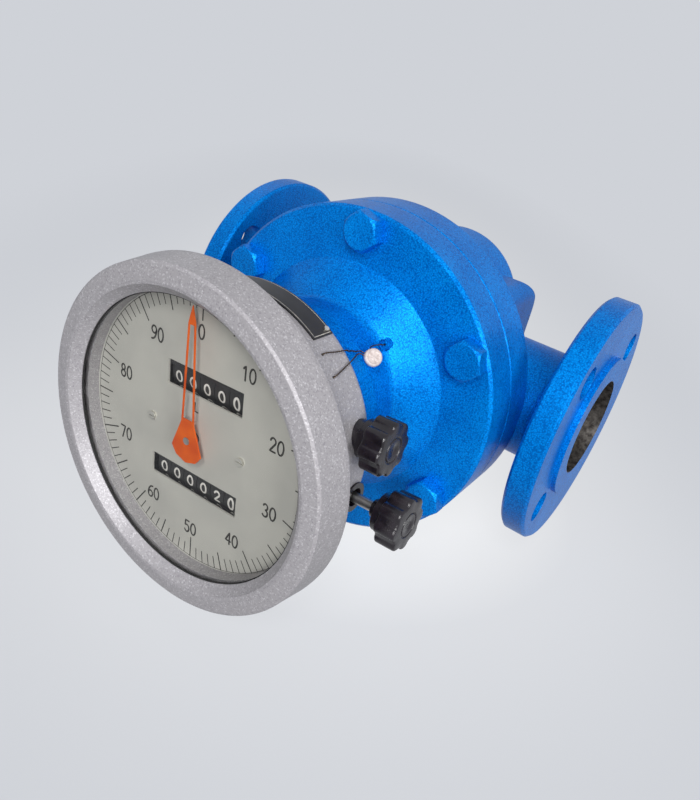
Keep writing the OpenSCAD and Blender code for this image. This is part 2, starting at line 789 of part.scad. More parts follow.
module counter_case() {
    color(case_silver) difference() {
        in_head() rotate_extrude() polygon(concat(
            [[case_hole_r, case_back]],
            arc([case_r - case_round, case_back + case_round], case_round, -90, 0, 5),
            [[case_r, bezel_back], [case_flange_r, bezel_back], [case_flange_r, dial_face]],
            [[dial_r + free_gap, dial_face], [dial_r + free_gap, dial_seat], [case_inner_r, dial_seat]],
            [[case_inner_r, case_floor], [case_hole_r, case_floor]]));
        in_head() around(case_screw_count, case_screw_r)
            rod((case_screw_d + screw_gap) / 2, case_back - 1, case_floor + 1);
        for (y = [-1, 1]) on_knob_axis(y) cross_rod(gland_stem_r + fit, case_inner_r / 2, case_r + 1);
        in_head() for (a = [-rivet_angle, rivet_angle]) outward(a, rivet_s)
            rod(rivet_shank_r + fit, case_inner_r - 1, case_r + 1);
        on_dial_axis() for (hole = [wire_hole_a, wire_hole_b])
            outward(hole[2], hole[1]) rod(wire_r + free_gap, case_inner_r - 1, case_r + 1);
    }
}

module register_frame() {
    color(bright_steel) in_head() {
        difference() {
            union() {
                translate([0, 0, case_floor]) linear_extrude(frame_t) {
                    square([2 * (side_plate_x + frame_t), 2 * frame_half_h], center = true);
                    square([2 * (case_screw_r + frame_lug_r), 2 * frame_lug_r], center = true);
                    square([2 * frame_lug_r, 2 * (case_screw_r + frame_lug_r)], center = true);
                }
                for (side = [-1, 1]) translate([side * (side_plate_x + frame_t / 2), 0, case_floor])
                    linear_extrude(bridge_back - seat_gap - case_floor)
                        square([frame_t, 2 * frame_half_h], center = true);
            }
            rod(output_shaft_r + run, case_floor - 1, case_floor + frame_t + 1);
            around(case_screw_count, case_screw_r)
                rod((case_screw_d + screw_gap) / 2, case_floor - 1, case_floor + frame_t + 1);
            for (p = [[upper_drum_y, drum_s], [lower_drum_y, drum_s]]) translate([0, p[0], p[1]])
                cross_rod(drum_shaft_r + fit, -side_plate_x - 5, side_plate_x + 5);
            for (p = [[cross_shaft_y, upper_cross_s], [-cross_shaft_y, lower_cross_s]])
                translate([0, p[0], p[1]])
                    cross_rod(cross_shaft_r + run, -side_plate_x - 5, side_plate_x + 5);
        }
        difference() {
            translate([0, 0, bridge_back]) linear_extrude(bridge_t)
                square([2 * (side_plate_x + frame_t), 2 * bridge_half_h], center = true);
            rod(output_shaft_r + run, bridge_back - 1, bridge_back + bridge_t + 1);
        }
        for (side = [-1, 1]) translate([side * post_x, 0, 0]) difference() {
            rod(post_r, bridge_back + bridge_t + seat_gap, dial_seat);
            rod(dial_screw_r + fit, dial_seat - dial_screw_depth - tap_runout, dial_seat + 1);
        }
    }
}

module drum_shafts() {
    color(bright_steel) in_head() for (y = [upper_drum_y, lower_drum_y])
        translate([0, y, drum_s]) cross_rod(drum_shaft_r, -side_plate_x - frame_t, side_plate_x + frame_t);
}

module dial_plate() {
    color(dial_grey) in_head() difference() {
        rod(dial_r, dial_seat, dial_face);
        translate([upper_window_x, upper_window_y, dial_seat - 1])
            linear_extrude(dial_t + 2) square([upper_window_w, upper_window_h], center = true);
        translate([lower_window_x, lower_window_y, dial_seat - 1])
            linear_extrude(dial_t + 2) square([lower_window_w, lower_window_h], center = true);
        rod(dial_hole_r, dial_seat - 1, dial_face + 1);
        for (side = [-1, 1]) translate([side * post_x, 0, 0])
            rod(dial_screw_r + screw_gap / 2, dial_seat - 1, dial_face + 1);
    }
}

module dial_screws() {
    color(bronze) in_head() for (side = [-1, 1]) translate([side * post_x, 0, 0]) {
        rod(dial_screw_r, dial_seat - dial_screw_depth, dial_face);
        difference() {
            rod(dial_screw_head_r, dial_face, dial_face + dial_screw_head_h);
            translate([0, 0, dial_face + dial_screw_head_h])
                cube([3 * dial_screw_head_r, dial_slot_w, dial_screw_head_h], center = true);
        }
    }
}

module dial_ring() { color(case_silver) in_head() pipe(glass_r, dial_ring_r, dial_face, glass_back); }
module glass() { color([0.85, 0.90, 0.90, 0.35]) in_head() rod(glass_r, glass_back, glass_front); }
module glass_gasket() {
    color(knob_black) in_head() pipe(glass_r, opening_r - gasket_lip, glass_front, lip_back);
}

module bezel() {
    inner_r = case_flange_r + 0.013 * bezel_rim;
    rear_bevel = 0.033 * bezel_rim;
    color(case_silver) in_head() rotate_extrude() polygon([
        [inner_r, bezel_back], [bezel_d / 2 - rear_bevel, bezel_back], [bezel_d / 2, bezel_back + rear_bevel],
        [bezel_d / 2, bezel_back + 5 * rear_bevel], [bezel_shoulder_r, bezel_front - bezel_shoulder_drop],
        [bezel_shoulder_r - 0.8 * bezel_round, bezel_front - bezel_shoulder_drop / 2],
        [bezel_crest_r + bezel_round, bezel_front], [bezel_crest_r, bezel_front - 0.3],
        [opening_r, lip_back + gasket_lip], [opening_r, lip_back], [inner_r, lip_back]]);
}

module nameplate() {
    color(drum_black) in_head() difference() {
        rotate([0, 0, 90 - nameplate_half_angle]) rotate_extrude(angle = 2 * nameplate_half_angle)
            translate([case_r + fit, nameplate_back]) square([nameplate_t, nameplate_w]);
        for (a = [-rivet_angle, rivet_angle]) outward(a, rivet_s)
            rod(rivet_shank_r + fit, case_inner_r, case_r + 2 * nameplate_t);
    }
}

module nameplate_rivets() {
    plate_outer = case_r + fit + nameplate_t;
    color(bright_steel) in_head() for (a = [-rivet_angle, rivet_angle]) outward(a, rivet_s) {
        rod(rivet_shank_r, case_inner_r, plate_outer + rivet_head_h);
        rod(rivet_r, plate_outer + seat_gap, plate_outer + seat_gap + rivet_head_h);
    }
}

module knob_glands() {
    color(knob_black) for (y = [-1, 1]) difference() {
        on_knob_axis(y) {
            cross_rod(gland_stem_r, gland_stem_x, gland_front_x);
            cross_rod(gland_r, gland_seat_x - 4, gland_front_x);
        }
        difference() {
            in_head() rod(case_r + fit, case_back - 10, bezel_back);
            on_knob_axis(y) cross_rod(gland_stem_r, gland_stem_x - 1, gland_front_x);
        }
        on_knob_axis(y) {
            cross_rod(knob_shaft_r + run, gland_stem_x - 1, gland_front_x + 1);
            cross_rod(knob_neck_r + free_gap, gland_seat_x, gland_front_x + 1);
        }
    }
}

module seal_screw() {
    color(enamel_blue) on_dial_axis() outward(seal_screw_angle, seal_screw_s) difference() {
        union() {
            rod(seal_screw_shank_r, seal_screw_seat_r - seal_screw_depth, seal_screw_seat_r);
            rod(seal_screw_head_r, seal_screw_seat_r, seal_screw_seat_r + seal_screw_head_h);
        }
        translate([0, 0, wire_hole_r])
            cross_rod(wire_r + free_gap, -2 * seal_screw_head_r, 2 * seal_screw_head_r);
    }
}

// The wire's routes as points of radius, distance in front of the pipe axis and angle from
// the top, chosen by hand, relative to the case where they hang on it
wire_hole_a = [case_r + 0.7, case_back + 15.8, 38];
wire_hole_b = [case_r + 0.7, case_back + 16.2, 47.3];
wire_join = neck_end + 3.5;
wire_route_a = [[case_inner_r, case_back + 15.8, 38], [case_r + 0.3, case_back + 15.8, 38],
    [case_r + 1.3, case_back + 14, 38.3], [case_r + 1.3, case_back + 9, 39.2],
    [case_r + 1.3, case_back + 2, 40.1], [case_r - 2, case_back - 3, 40.1],
    [case_r - 8, case_back - 14, 40], [adapter_r + 2.6, wire_join + 4, 40],
    [adapter_r + 1.9, wire_join, 40.4], [adapter_r + 2.5, seal_disc_s + 2.5, 42.5],
    [adapter_r + 3.4, seal_disc_s + 1, 44.5]];
wire_route_b = [[case_inner_r, case_back + 16.2, 47.3], [case_r + 0.3, case_back + 16.2, 47.3],
    [case_r + 1.3, case_back + 14.5, 47], [case_r + 1.3, case_back + 9, 45.9],
    [case_r + 1.3, case_back + 2, 44.4], [case_r - 2, case_back - 3, 44],
    [case_r - 8, case_back - 14, 42.6], [adapter_r + 2.8, wire_join + 5, 41.6],
    [adapter_r + 1.9, wire_join + 1, 41.8], [adapter_r + 2.2, seal_disc_s + 3, 43.8],
    [adapter_r + 2.8, seal_disc_s + 2, 45.5]];
wire_route_c = [[adapter_r + 4.5, seal_disc_s - 1, 44.8], [adapter_r + 4.2, seal_disc_s - 1.2, 42],
    [adapter_r + 3, seal_disc_s - 3.5, 40.7], [seal_screw_seat_r + 4, seal_screw_s + 9, 40.9],
    [seal_screw_seat_r + 3.6, seal_screw_s + 5, 41.6], [wire_hole_r, seal_screw_s + 3, 42.2],
    [wire_hole_r, seal_screw_s - 2.8, 42.2]];

function on_cylinder(p) = [p[0] * sin(p[2]), p[0] * cos(p[2]), p[1]];
function spline(a, b, c, d, t) =
    0.5 * (2 * b + (c - a) * t + (2 * a - 5 * b + 4 * c - d) * t ^ 2 + (3 * b - a - 3 * c + d) * t ^ 3);
function smooth(points) =
    let (last = len(points) - 1)
    concat([for (i = [0:last - 1], k = [0:wire_steps - 1])
        spline(points[max(i - 1, 0)], points[i], points[i + 1], points[min(i + 2, last)], k / wire_steps)],
        [points[last]]);
function unit(v) = v / norm(v);

// Round tube swept along a path; up is a direction that the path never follows
module swept_tube(path, r, sides, up) {
    last = len(path) - 1;
    rings = [for (i = [0:last])
        let (t = unit(path[min(i + 1, last)] - path[max(i - 1, 0)]))
        let (u = unit(cross(up, t)), v = cross(t, u))
        for (k = [0:sides - 1]) path[i] + r * (cos(k * 360 / sides) * u + sin(k * 360 / sides) * v)];
    walls = [for (i = [0:last - 1], k = [0:sides - 1], half = [0, 1])
        let (a = i * sides + k, b = i * sides + (k + 1) % sides)
        half == 0 ? [a, a + sides, b] : [b, a + sides, b + sides]];
    caps = [for (k = [1:sides - 2], end = [0, 1])
        end == 0 ? [0, k, k + 1] : [last * sides, last * sides + k + 1, last * sides + k]];
    polyhedron(rings, concat(walls, caps));
}

module seal_wire() {
    color(wire_brown) on_dial_axis() for (route = [wire_route_a, wire_route_b, wire_route_c])
        swept_tube(smooth([for (p = route) on_cylinder(p)]), wire_r, wire_sides,
            [cos(42), -sin(42), 0]);
}

module lead_seal() {
    color(seal_white) on_dial_axis() outward(seal_disc_angle, seal_disc_s)
        translate([0, 0, seal_disc_mid_r]) rotate([0, -seal_disc_tilt, 0]) difference() {
            rod(seal_disc_r, -seal_disc_t / 2, seal_disc_t / 2);
            rod(seal_disc_r - seal_disc_edge, seal_disc_t / 2 - seal_disc_recess, seal_disc_t);
        }
}

// Oval gear with its long axis turned by angle
module oval_gear(y, angle) {
    difference() {
        translate([0, y, chamber_back + end_clearance]) rotate([0, 0, angle])
            linear_extrude(gear_height) polygon(oval_gear_points());
        translate([0, y, 0]) rod(gear_shaft_r + fit, chamber_back - 1, plate_seat + 1);
    }
}
module upper_oval_gear() { color(bright_steel) on_dial_axis() oval_gear(gear_y, 90); }
module lower_oval_gear() { color(bright_steel) on_dial_axis() oval_gear(-gear_y, 0); }

module upper_gear_shaft() {
    color(bright_steel) on_dial_axis() translate([0, gear_y, 0]) {
        rod(gear_shaft_r, pot_floor + gear_shaft_end_gap, wet_gear_back + wet_gear_t);
        spur(pinion_teeth, first_pair_module, wet_gear_back, wet_gear_back + wet_gear_t);
    }
}
module lower_gear_shaft() {
    color(bright_steel) on_dial_axis() translate([0, -gear_y, 0])
        rod(gear_shaft_r, pot_floor + gear_shaft_end_gap, plate_front - 0.5);
}

// The centre wheel, turned in one piece with the shaft that carries the drive magnet
module centre_wheel() {
    color(bronze) on_dial_axis() {
        spur(centre_wheel_teeth, first_pair_module, wet_gear_back, wet_gear_back + wet_gear_t,
            mesh_phase(-90, 0, pinion_teeth, centre_wheel_teeth));
        rod(centre_shaft_r, plate_front - centre_bush_l + 0.5, drive_magnet_back + magnet_cup_t - 0.5);
    }
}

// Cup with a ring of magnets let into the face at to_face; the other face is at from_face
module magnet_cup(bore_r, from_face, to_face, phase) {
    direction = sign(to_face - from_face);
    low = min(from_face, to_face);
    color(bright_steel) difference() {
        rod(magnet_r, low, max(from_face, to_face));
        rod(bore_r, low - 1, max(from_face, to_face) + 1);
        around(magnet_count, magnet_ring_r, phase)
            rod(magnet_piece_r + fit, min(to_face - direction * magnet_piece_t, to_face + direction),
                max(to_face - direction * magnet_piece_t, to_face + direction));
    }
    color(magnet_grey) around(magnet_count, magnet_ring_r, phase)
        rod(magnet_piece_r, min(to_face, to_face - direction * (magnet_piece_t - seat_gap)),
            max(to_face, to_face - direction * (magnet_piece_t - seat_gap)));
}
module drive_magnet() {
    on_dial_axis() magnet_cup(centre_shaft_r + fit, drive_magnet_back, drive_magnet_back + magnet_cup_t, 0);
}
module driven_magnet() {
    on_dial_axis()
        magnet_cup(follower_shaft_r + fit, driven_magnet_back + driven_magnet_t, driven_magnet_back, 0);
}

// Train phases: each gear is turned to mesh with the one before it
idler_phase = mesh_phase(0, 0, train_pinion_teeth, train_wheel_teeth);
second_phase = mesh_phase(second_arbor_angle + 60, 0, train_pinion_teeth, train_wheel_teeth);
output_phase = mesh_phase(second_arbor_angle + 180, 0, train_pinion_teeth, train_wheel_teeth);

module follower_shaft() {
    color(bright_steel) on_dial_axis() {
        rod(follower_shaft_r, driven_magnet_back + 0.3, train_first);
        spur(train_pinion_teeth, train_module, train_first, train_first + train_gear_t);
        rod(follower_tip_r, train_first, train_third - 3);
    }
}

// An idler: a wheel and a pinion on one arbor at angle a round the dial axis
module idler(a, wheel_from, wheel_phase, pinion_from) {
    rotate([0, 0, a]) translate([train_distance, 0, 0]) rotate([0, 0, -a]) {
        color(bronze) difference() {
            spur(train_wheel_teeth, train_module, wheel_from, wheel_from + train_gear_t, wheel_phase);
            rod(arbor_r + fit, wheel_from - 1, wheel_from + train_gear_t + 1);
        }
        color(bright_steel) {
            rod(arbor_r, gearbox_back + 0.5, gearbox_front + gearbox_plate_t - 0.5);
            spur(train_pinion_teeth, train_module, pinion_from, pinion_from + train_gear_t);
        }
    }
}
module first_idler() { on_dial_axis() idler(0, train_first, idler_phase, train_second); }
module second_idler() { on_dial_axis() idler(second_arbor_angle, train_second, second_phase, train_third); }

module output_wheel() {
    color(bronze) on_dial_axis() difference() {
        spur(train_wheel_teeth, train_module, train_third, train_third + train_gear_t, output_phase);
        rod(output_shaft_r + fit, train_third - 1, train_third + train_gear_t + 1);
    }
}

// Output shaft with its coupling sleeve and the worm that drives both cross shafts
worm_pitch = PI * worm_module;
worm_turns = 4;
worm_back = upper_cross_s - worm_pitch * worm_turns / 2;
module output_shaft() {
    color(bright_steel) on_dial_axis() {
        difference() {
            rod(output_shaft_r, train_third - 5, pointer_shaft_end);
            rod(follower_tip_r + run, train_third - 6, train_third - 2.5);
        }
        pipe(sleeve_r, output_shaft_r + fit, sleeve_back, sleeve_back + sleeve_l);
        rotate_extrude() polygon(concat(
            [[output_shaft_r - 0.5, worm_back]],
            [for (i = [0:worm_turns - 1], c = [[-1.1, 0.24], [0.8, 0.37], [0.8, 0.63], [-1.1, 0.76]])
                [worm_r + c[0] * worm_module, worm_back + (i + c[1]) * worm_pitch]],
            [[output_shaft_r - 0.5, worm_back + worm_turns * worm_pitch]]));
    }
}

module pointer() {
    half = [[pointer_tip_half_w, pointer_rail_end], [pointer_root_half_w, pointer_root_y],
        [pointer_shield_half_w, pointer_shield_y], [pointer_tail_half_w, pointer_tail_y]];
    slot_tip = [pointer_tip_half_w - pointer_rail_w, pointer_rail_end - pointer_rail_w / 2];
    slot_root = [pointer_root_half_w - pointer_rail_w, pointer_root_y + 2 * pointer_rail_w];
    color(pointer_orange) in_head() {
        translate([0, 0, pointer_back]) linear_extrude(pointer_t) difference() {
            polygon(concat([[0, pointer_reach]], half, [[0, pointer_end_y]],
                [for (i = [len(half) - 1:-1:0]) [-half[i][0], half[i][1]]]));
            polygon([slot_tip, slot_root, [-slot_root[0], slot_root[1]], [-slot_tip[0], slot_tip[1]]]);
            circle(output_shaft_r + fit);
        }
        pipe(pointer_hub_r, output_shaft_r + fit, pointer_back - pointer_hub_h, pointer_back);
    }
}

// Cross shaft: a worm wheel in the middle and a spur gear at the right end
module cross_shaft(y_sign, s, gear_x) {
    groove = upper_cross_s + round((s - upper_cross_s) / worm_pitch) * worm_pitch;
    wheel_turn = (s - groove) / worm_wheel_r * 180 / PI;
    in_head() translate([0, y_sign * cross_shaft_y, s]) rotate([0, 90, 0]) {
        color(bright_steel) rod(cross_shaft_r, -side_plate_x - frame_t, side_plate_x + frame_t);
        color(bronze) spur(worm_wheel_teeth, worm_module, -worm_wheel_t / 2, worm_wheel_t / 2,
            y_sign * (-90 + wheel_turn));
        color(bronze) spur(register_gear_teeth, register_gear_module, gear_x, gear_x + register_gear_t,
            drum_angle(y_sign, s));
    }
}
// In the cross shafts' own frame the drum's axis lies at this angle
function drum_angle(y_sign, s) =
    atan2(y_sign * ((y_sign > 0 ? upper_drum_y : -lower_drum_y) - cross_shaft_y), s - drum_s);
module upper_cross_shaft() { cross_shaft(1, upper_cross_s, upper_register_x); }
module lower_cross_shaft() { cross_shaft(-1, lower_cross_s, lower_register_x); }

// A number drum on its fixed shaft; the last one of a row carries the register gear
module number_drum(y, x, gear_x, gear_angle) {
    in_head() translate([0, y, drum_s]) rotate([0, 90, 0]) {
        color(drum_black) difference() {
            rod(drum_r, x - drum_w / 2, x + drum_w / 2);
            rod(drum_shaft_r + run, x - drum_w, x + drum_w);
        }
        if (gear_x > 0) color(bronze) {
            pipe(drum_hub_r, drum_shaft_r + run, x + drum_w / 2 - 1, gear_x + 1);
            difference() {
                spur(register_gear_teeth, register_gear_module, gear_x, gear_x + register_gear_t, gear_angle);
                rod(drum_shaft_r + run, gear_x - 1, gear_x + register_gear_t + 1);
            }
        }
    }
}
module upper_drum(i) {
    number_drum(upper_drum_y, upper_first_x + (i - 1) * drum_pitch, i == upper_drums ? upper_register_x : 0,
        drum_angle(1, upper_cross_s) + 180 + 180 / register_gear_teeth);
}
module lower_drum(i) {
    number_drum(lower_drum_y, lower_first_x + (i - 1) * drum_pitch, i == lower_drums ? lower_register_x : 0,
        drum_angle(-1, lower_cross_s) + 180 + 180 / register_gear_teeth);
}

// Knob on its shaft; out is how far it stands from its pushed-in place
module knob(y_sign, out) {
    color(knob_black) on_knob_axis(y_sign) translate([out, 0, 0]) {
        hub_x = gland_front_x + seat_gap;
        head_x = hub_x + knob_hub_l;
        difference() {
            translate([head_x, 0, 0]) rotate([0, 90, 0]) linear_extrude(knob_l) {
                circle(knob_d / 2 - knob_valley);
                for (i = [0:knob_lobes - 1]) rotate([0, 0, i * 360 / knob_lobes])
                    translate([knob_d / 2 - knob_lobe_r, 0]) circle(knob_lobe_r);
            }
            translate([head_x + knob_l, 0, 0]) rotate([0, 90, 0])
                pipe(knob_ring_r + knob_ring_w, knob_ring_r, -knob_ring_depth, 1);
        }
        cross_rod(knob_neck_r, gland_seat_x + free_gap, head_x);
        cross_rod(knob_hub_r, hub_x, head_x);
    }
    color(bright_steel) on_knob_axis(y_sign) translate([out, 0, 0]) {
        cross_rod(knob_shaft_r, shaft_end_x, gland_seat_x + 1);
        difference() {
            cross_rod(dog_r, shaft_end_x, shaft_end_x + dog_t);
            translate([shaft_end_x, 0, 0]) cube([2 * dog_slot_depth, dog_slot_w, 3 * dog_r], center = true);
        }
    }
}
// Collar that slides with the shaft between the dog and a shoulder and doesn't turn
module slide_collar(y_sign, out) {
    color(bronze) on_knob_axis(y_sign) translate([out + shaft_end_x + dog_t + free_gap, 0, 0])
        rotate([0, 90, 0]) pipe(collar_r - 1, knob_shaft_r + run, 0, collar_t);
}
module upper_knob() { knob(1, 0); }
module lower_knob() { knob(-1, knob_travel); }
module upper_slide_collar() { slide_collar(1, 0); }
module lower_slide_collar() { slide_collar(-1, knob_travel); }

meter_body();
rear_bearing_plate();
chamber_plate();
gear_bushes();
chamber_screws();
cover_o_ring();
front_cover();
cover_bolts();
separating_disc();
clamp_ring();
clamp_ring_screws();
gearbox_frame();
neck_adapter();
case_screws();
counter_case();
register_frame();
drum_shafts();
dial_plate();
dial_screws();
dial_ring();
glass();
glass_gasket();
bezel();
nameplate();
nameplate_rivets();
knob_glands();
seal_screw();
seal_wire();
lead_seal();
upper_oval_gear();
lower_oval_gear();
upper_gear_shaft();
lower_gear_shaft();
centre_wheel();
drive_magnet();
driven_magnet();
follower_shaft();
first_idler();
second_idler();
output_wheel();
output_shaft();
pointer();
upper_cross_shaft();
lower_cross_shaft();
upper_drum(1);  // upper_drum_1
upper_drum(2);  // upper_drum_2
upper_drum(3);  // upper_drum_3
upper_drum(4);  // upper_drum_4
upper_drum(5);  // upper_drum_5
lower_drum(1);  // lower_drum_1
lower_drum(2);  // lower_drum_2
lower_drum(3);  // lower_drum_3
lower_drum(4);  // lower_drum_4
lower_drum(5);  // lower_drum_5
lower_drum(6);  // lower_drum_6
upper_slide_collar();
lower_slide_collar();
upper_knob();
lower_knob();
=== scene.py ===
"""Dressed scene of an oval gear flow meter.

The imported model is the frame. The classes below give its nodes painted, moulded and turned finishes,
and add what is too fine for the solids: the printed scale, the figures on the number drums, the
moulded knobs, the twisted seal wire, the crimped seal and the drawn edges of the plate on the case.
"""
from __future__ import annotations

import logging
import math
from abc import ABC, abstractmethod
from dataclasses import dataclass, field
from enum import Enum
from typing import Callable, Iterable, Sequence

import bpy
from mathutils import Matrix, Vector

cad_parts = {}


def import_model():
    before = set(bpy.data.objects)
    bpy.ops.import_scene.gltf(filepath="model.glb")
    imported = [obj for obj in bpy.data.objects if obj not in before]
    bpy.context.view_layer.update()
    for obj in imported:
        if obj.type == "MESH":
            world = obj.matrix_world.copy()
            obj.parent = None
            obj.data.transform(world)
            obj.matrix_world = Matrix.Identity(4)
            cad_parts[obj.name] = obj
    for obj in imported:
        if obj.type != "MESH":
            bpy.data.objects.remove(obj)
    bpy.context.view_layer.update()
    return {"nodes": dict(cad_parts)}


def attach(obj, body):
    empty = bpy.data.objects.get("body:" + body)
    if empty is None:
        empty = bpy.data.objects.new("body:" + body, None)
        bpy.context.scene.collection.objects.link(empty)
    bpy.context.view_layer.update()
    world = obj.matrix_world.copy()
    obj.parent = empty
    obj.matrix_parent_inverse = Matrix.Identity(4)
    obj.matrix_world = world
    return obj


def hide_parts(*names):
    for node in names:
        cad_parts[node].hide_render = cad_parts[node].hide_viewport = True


LOG = logging.getLogger("flow_meter")
MM = 0.001
END_PARTS = 6
Flat = tuple[float, float]
Place = Callable[[float, float], Vector]
Nodes = dict[str, bpy.types.Object]


class Row(Enum):
    """The two rows of number drums, with their reset knobs."""

    UPPER = "upper"
    LOWER = "lower"


class Weight(Enum):
    """Stroke weight of a printed figure, as a share of its height."""

    SCALE = 0.12
    DRUM = 0.15
    LETTER = 0.13


def linear(code: str) -> tuple[float, float, float, float]:
    """Turn an sRGB hex colour into linear values.

    Args:
        code: Colour written as #RRGGBB.

    Returns:
        Red, green, blue and a full alpha, linear.
    """
    parts = [int(code[i:i + 2], 16) / 255 for i in (1, 3, 5)]
    red, green, blue = (c / 12.92 if c <= 0.04045 else ((c + 0.055) / 1.055) ** 2.4 for c in parts)
    return red, green, blue, 1.0


def lumps(size: float) -> float:
    """Return the texture scale at which a lump is so many millimetres wide."""
    return 1 / (size * MM)


def add(tree: bpy.types.NodeTree, kind: str, settings: dict[str, object] | None = None,
        inputs: dict[str | int, object] | None = None,
        stops: Sequence[tuple[float, str]] = ()) -> bpy.types.Node:
    """Add a shader node, set it up and link what feeds it.

    Args:
        tree: Node tree that gets the node.
        kind: Node type without its ShaderNode prefix.
        settings: Properties of the node itself.
        inputs: Values of its sockets by name or number; an output socket is linked.
        stops: Places and sRGB hex colours of its colour ramp, lowest first.

    Returns:
        The new node.
    """
    node = tree.nodes.new("ShaderNode" + kind)
    for name, value in (settings or {}).items():
        setattr(node, name, value)
    for name, value in (inputs or {}).items():
        if isinstance(value, bpy.types.NodeSocket):
            tree.links.new(value, node.inputs[name])
        else:
            node.inputs[name].default_value = value
    if stops:
        marks = node.color_ramp.elements
        for mark, (position, code) in zip((marks[0], marks[1]), (stops[0], stops[-1])):
            mark.position, mark.color = position, linear(code)
        for position, code in stops[1:-1]:
            marks.new(position).color = linear(code)
    return node


def seen_by(tree: bpy.types.NodeTree) -> bpy.types.NodeSocket:
    """Pick the rays that show the background: from the camera, off a gloss or through glass.

    Args:
        tree: Node tree of the background.

    Returns:
        1 for such a ray and 0 for one that only carries light.
    """
    rays = add(tree, "LightPath").outputs
    mirrored = add(tree, "Math", {"operation": "MAXIMUM"}, {
        0: rays["Is Glossy Ray"], 1: rays["Is Transmission Ray"]}).outputs[0]
    return add(tree, "Math", {"operation": "MAXIMUM"}, {0: rays["Is Camera Ray"], 1: mirrored}).outputs[0]


@dataclass(frozen=True)
class HeadFrame:
    """The counter head's own axes: x right and y up on the dial, s towards the reader from the pipe's axis.

    The head is turned a little on its neck, anticlockwise as the reader sees it.
    """

    centre_x: float = 125.0
    turn: float = 3.65

    def at(self, x: float, y: float, s: float) -> Vector:
        """Return the place in metres of a head point in millimetres.

        Args:
            x: Distance to the right of the dial's centre.
            y: Distance above it.
            s: Distance in front of the pipe's axis.

        Returns:
            The point in the frame's own axes.
        """
        c, n = math.cos(math.radians(self.turn)), math.sin(math.radians(self.turn))
        return Vector((self.centre_x + x * c - y * n, -s, x * n + y * c)) * MM

    def around(self, radius: float, angle: float, s: float) -> Vector:
        """Return the place of a point at an angle clockwise from the top of the case."""
        a = math.radians(angle)
        return self.at(radius * math.sin(a), radius * math.cos(a), s)


HEAD = HeadFrame()
UNTURNED = HeadFrame(turn=0.0)


class Form:
    """Points and faces of one piece while it is being built."""

    def __init__(self) -> None:
        """Start with an empty form."""
        self.points: list[Vector] = []
        self.faces: list[tuple[int, ...]] = []

    def patch(self, points: Iterable[Vector]) -> None:
        """Add one face with its own points.

        Args:
            points: Corners, anticlockwise from outside.
        """
        start = len(self.points)
        self.points.extend(points)
        self.faces.append(tuple(range(start, len(self.points))))

    def loft(self, rings: Sequence[Sequence[Vector]]) -> None:
        """Join rings of equal length into a skin, and fill the first and the last.

        Args:
            rings: Closed rings of points.
        """
        start, size = len(self.points), len(rings[0])
        for ring in rings:
            self.points.extend(ring)
        for r in range(len(rings) - 1):
            low, high = start + r * size, start + (r + 1) * size
            for i in range(size):
                j = (i + 1) % size
                self.faces.append((low + i, low + j, high + j, high + i))
        last = start + (len(rings) - 1) * size
        self.faces.append(tuple(start + i for i in reversed(range(size))))
        self.faces.append(tuple(last + i for i in range(size)))

    def stroke(self, line: Sequence[Flat], width: float, place: Place) -> None:
        """Add a pen stroke with round ends on a surface.

        Args:
            line: Points of the stroke's middle; equal ends make a closed loop.
            width: Width of the stroke.
            place: Takes a flat point to its place on the surface.
        """
        closed = math.dist(line[0], line[-1]) < 1e-6
        middle = list(line[:-1] if closed else line)
        count = len(middle)
        left: list[Flat] = []
        right: list[Flat] = []
        for i, (x, y) in enumerate(middle):
            before = middle[i - 1] if closed or i else middle[0]
            after = middle[(i + 1) % count] if closed or i < count - 1 else middle[-1]
            dx, dy = after[0] - before[0], after[1] - before[1]
            span = math.hypot(dx, dy) or 1.0
            nx, ny = -dy / span * width / 2, dx / span * width / 2
            left.append((x + nx, y + ny))
            right.append((x - nx, y - ny))
        for i in range(count if closed else count - 1):
            j = (i + 1) % count
            self.patch(place(*p) for p in (right[i], right[j], left[j], left[i]))
        if closed:
            return
        for (x, y), (ax, ay) in ((middle[0], left[0]), (middle[-1], right[-1])):
            begin = math.atan2(ay - y, ax - x)
            angles = (begin + k * math.pi / END_PARTS for k in range(END_PARTS + 1))
            self.patch(place(x + width / 2 * math.cos(a), y + width / 2 * math.sin(a)) for a in angles)

    def make(self, name: str, finish: bpy.types.Material, body: str,
             replaces: Sequence[str] = (), smooth: float = 35.0) -> None:
        """Turn the form into an object that rides on a body.

        Args:
            name: Name of the piece.
            finish: Its material.
            body: Body that it moves with.
            replaces: Nodes that it stands for.
            smooth: Angle in degrees above which an edge stays sharp; 0 keeps all faces flat.
        """
        mesh = bpy.data.meshes.new(name)
        mesh.from_pydata([tuple(p) for p in self.points], [], self.faces)
        mesh.materials.append(finish)
        if smooth:
            mesh.shade_smooth()
            mesh.set_sharp_from_angle(angle=math.radians(smooth))
        mesh.validate()
        piece = bpy.data.objects.new(name, mesh)
        bpy.context.scene.collection.objects.link(piece)
        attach(piece, body)
        if replaces:
            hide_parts(*replaces)
        LOG.info("%s: %d faces on %s", name, len(mesh.polygons), body)


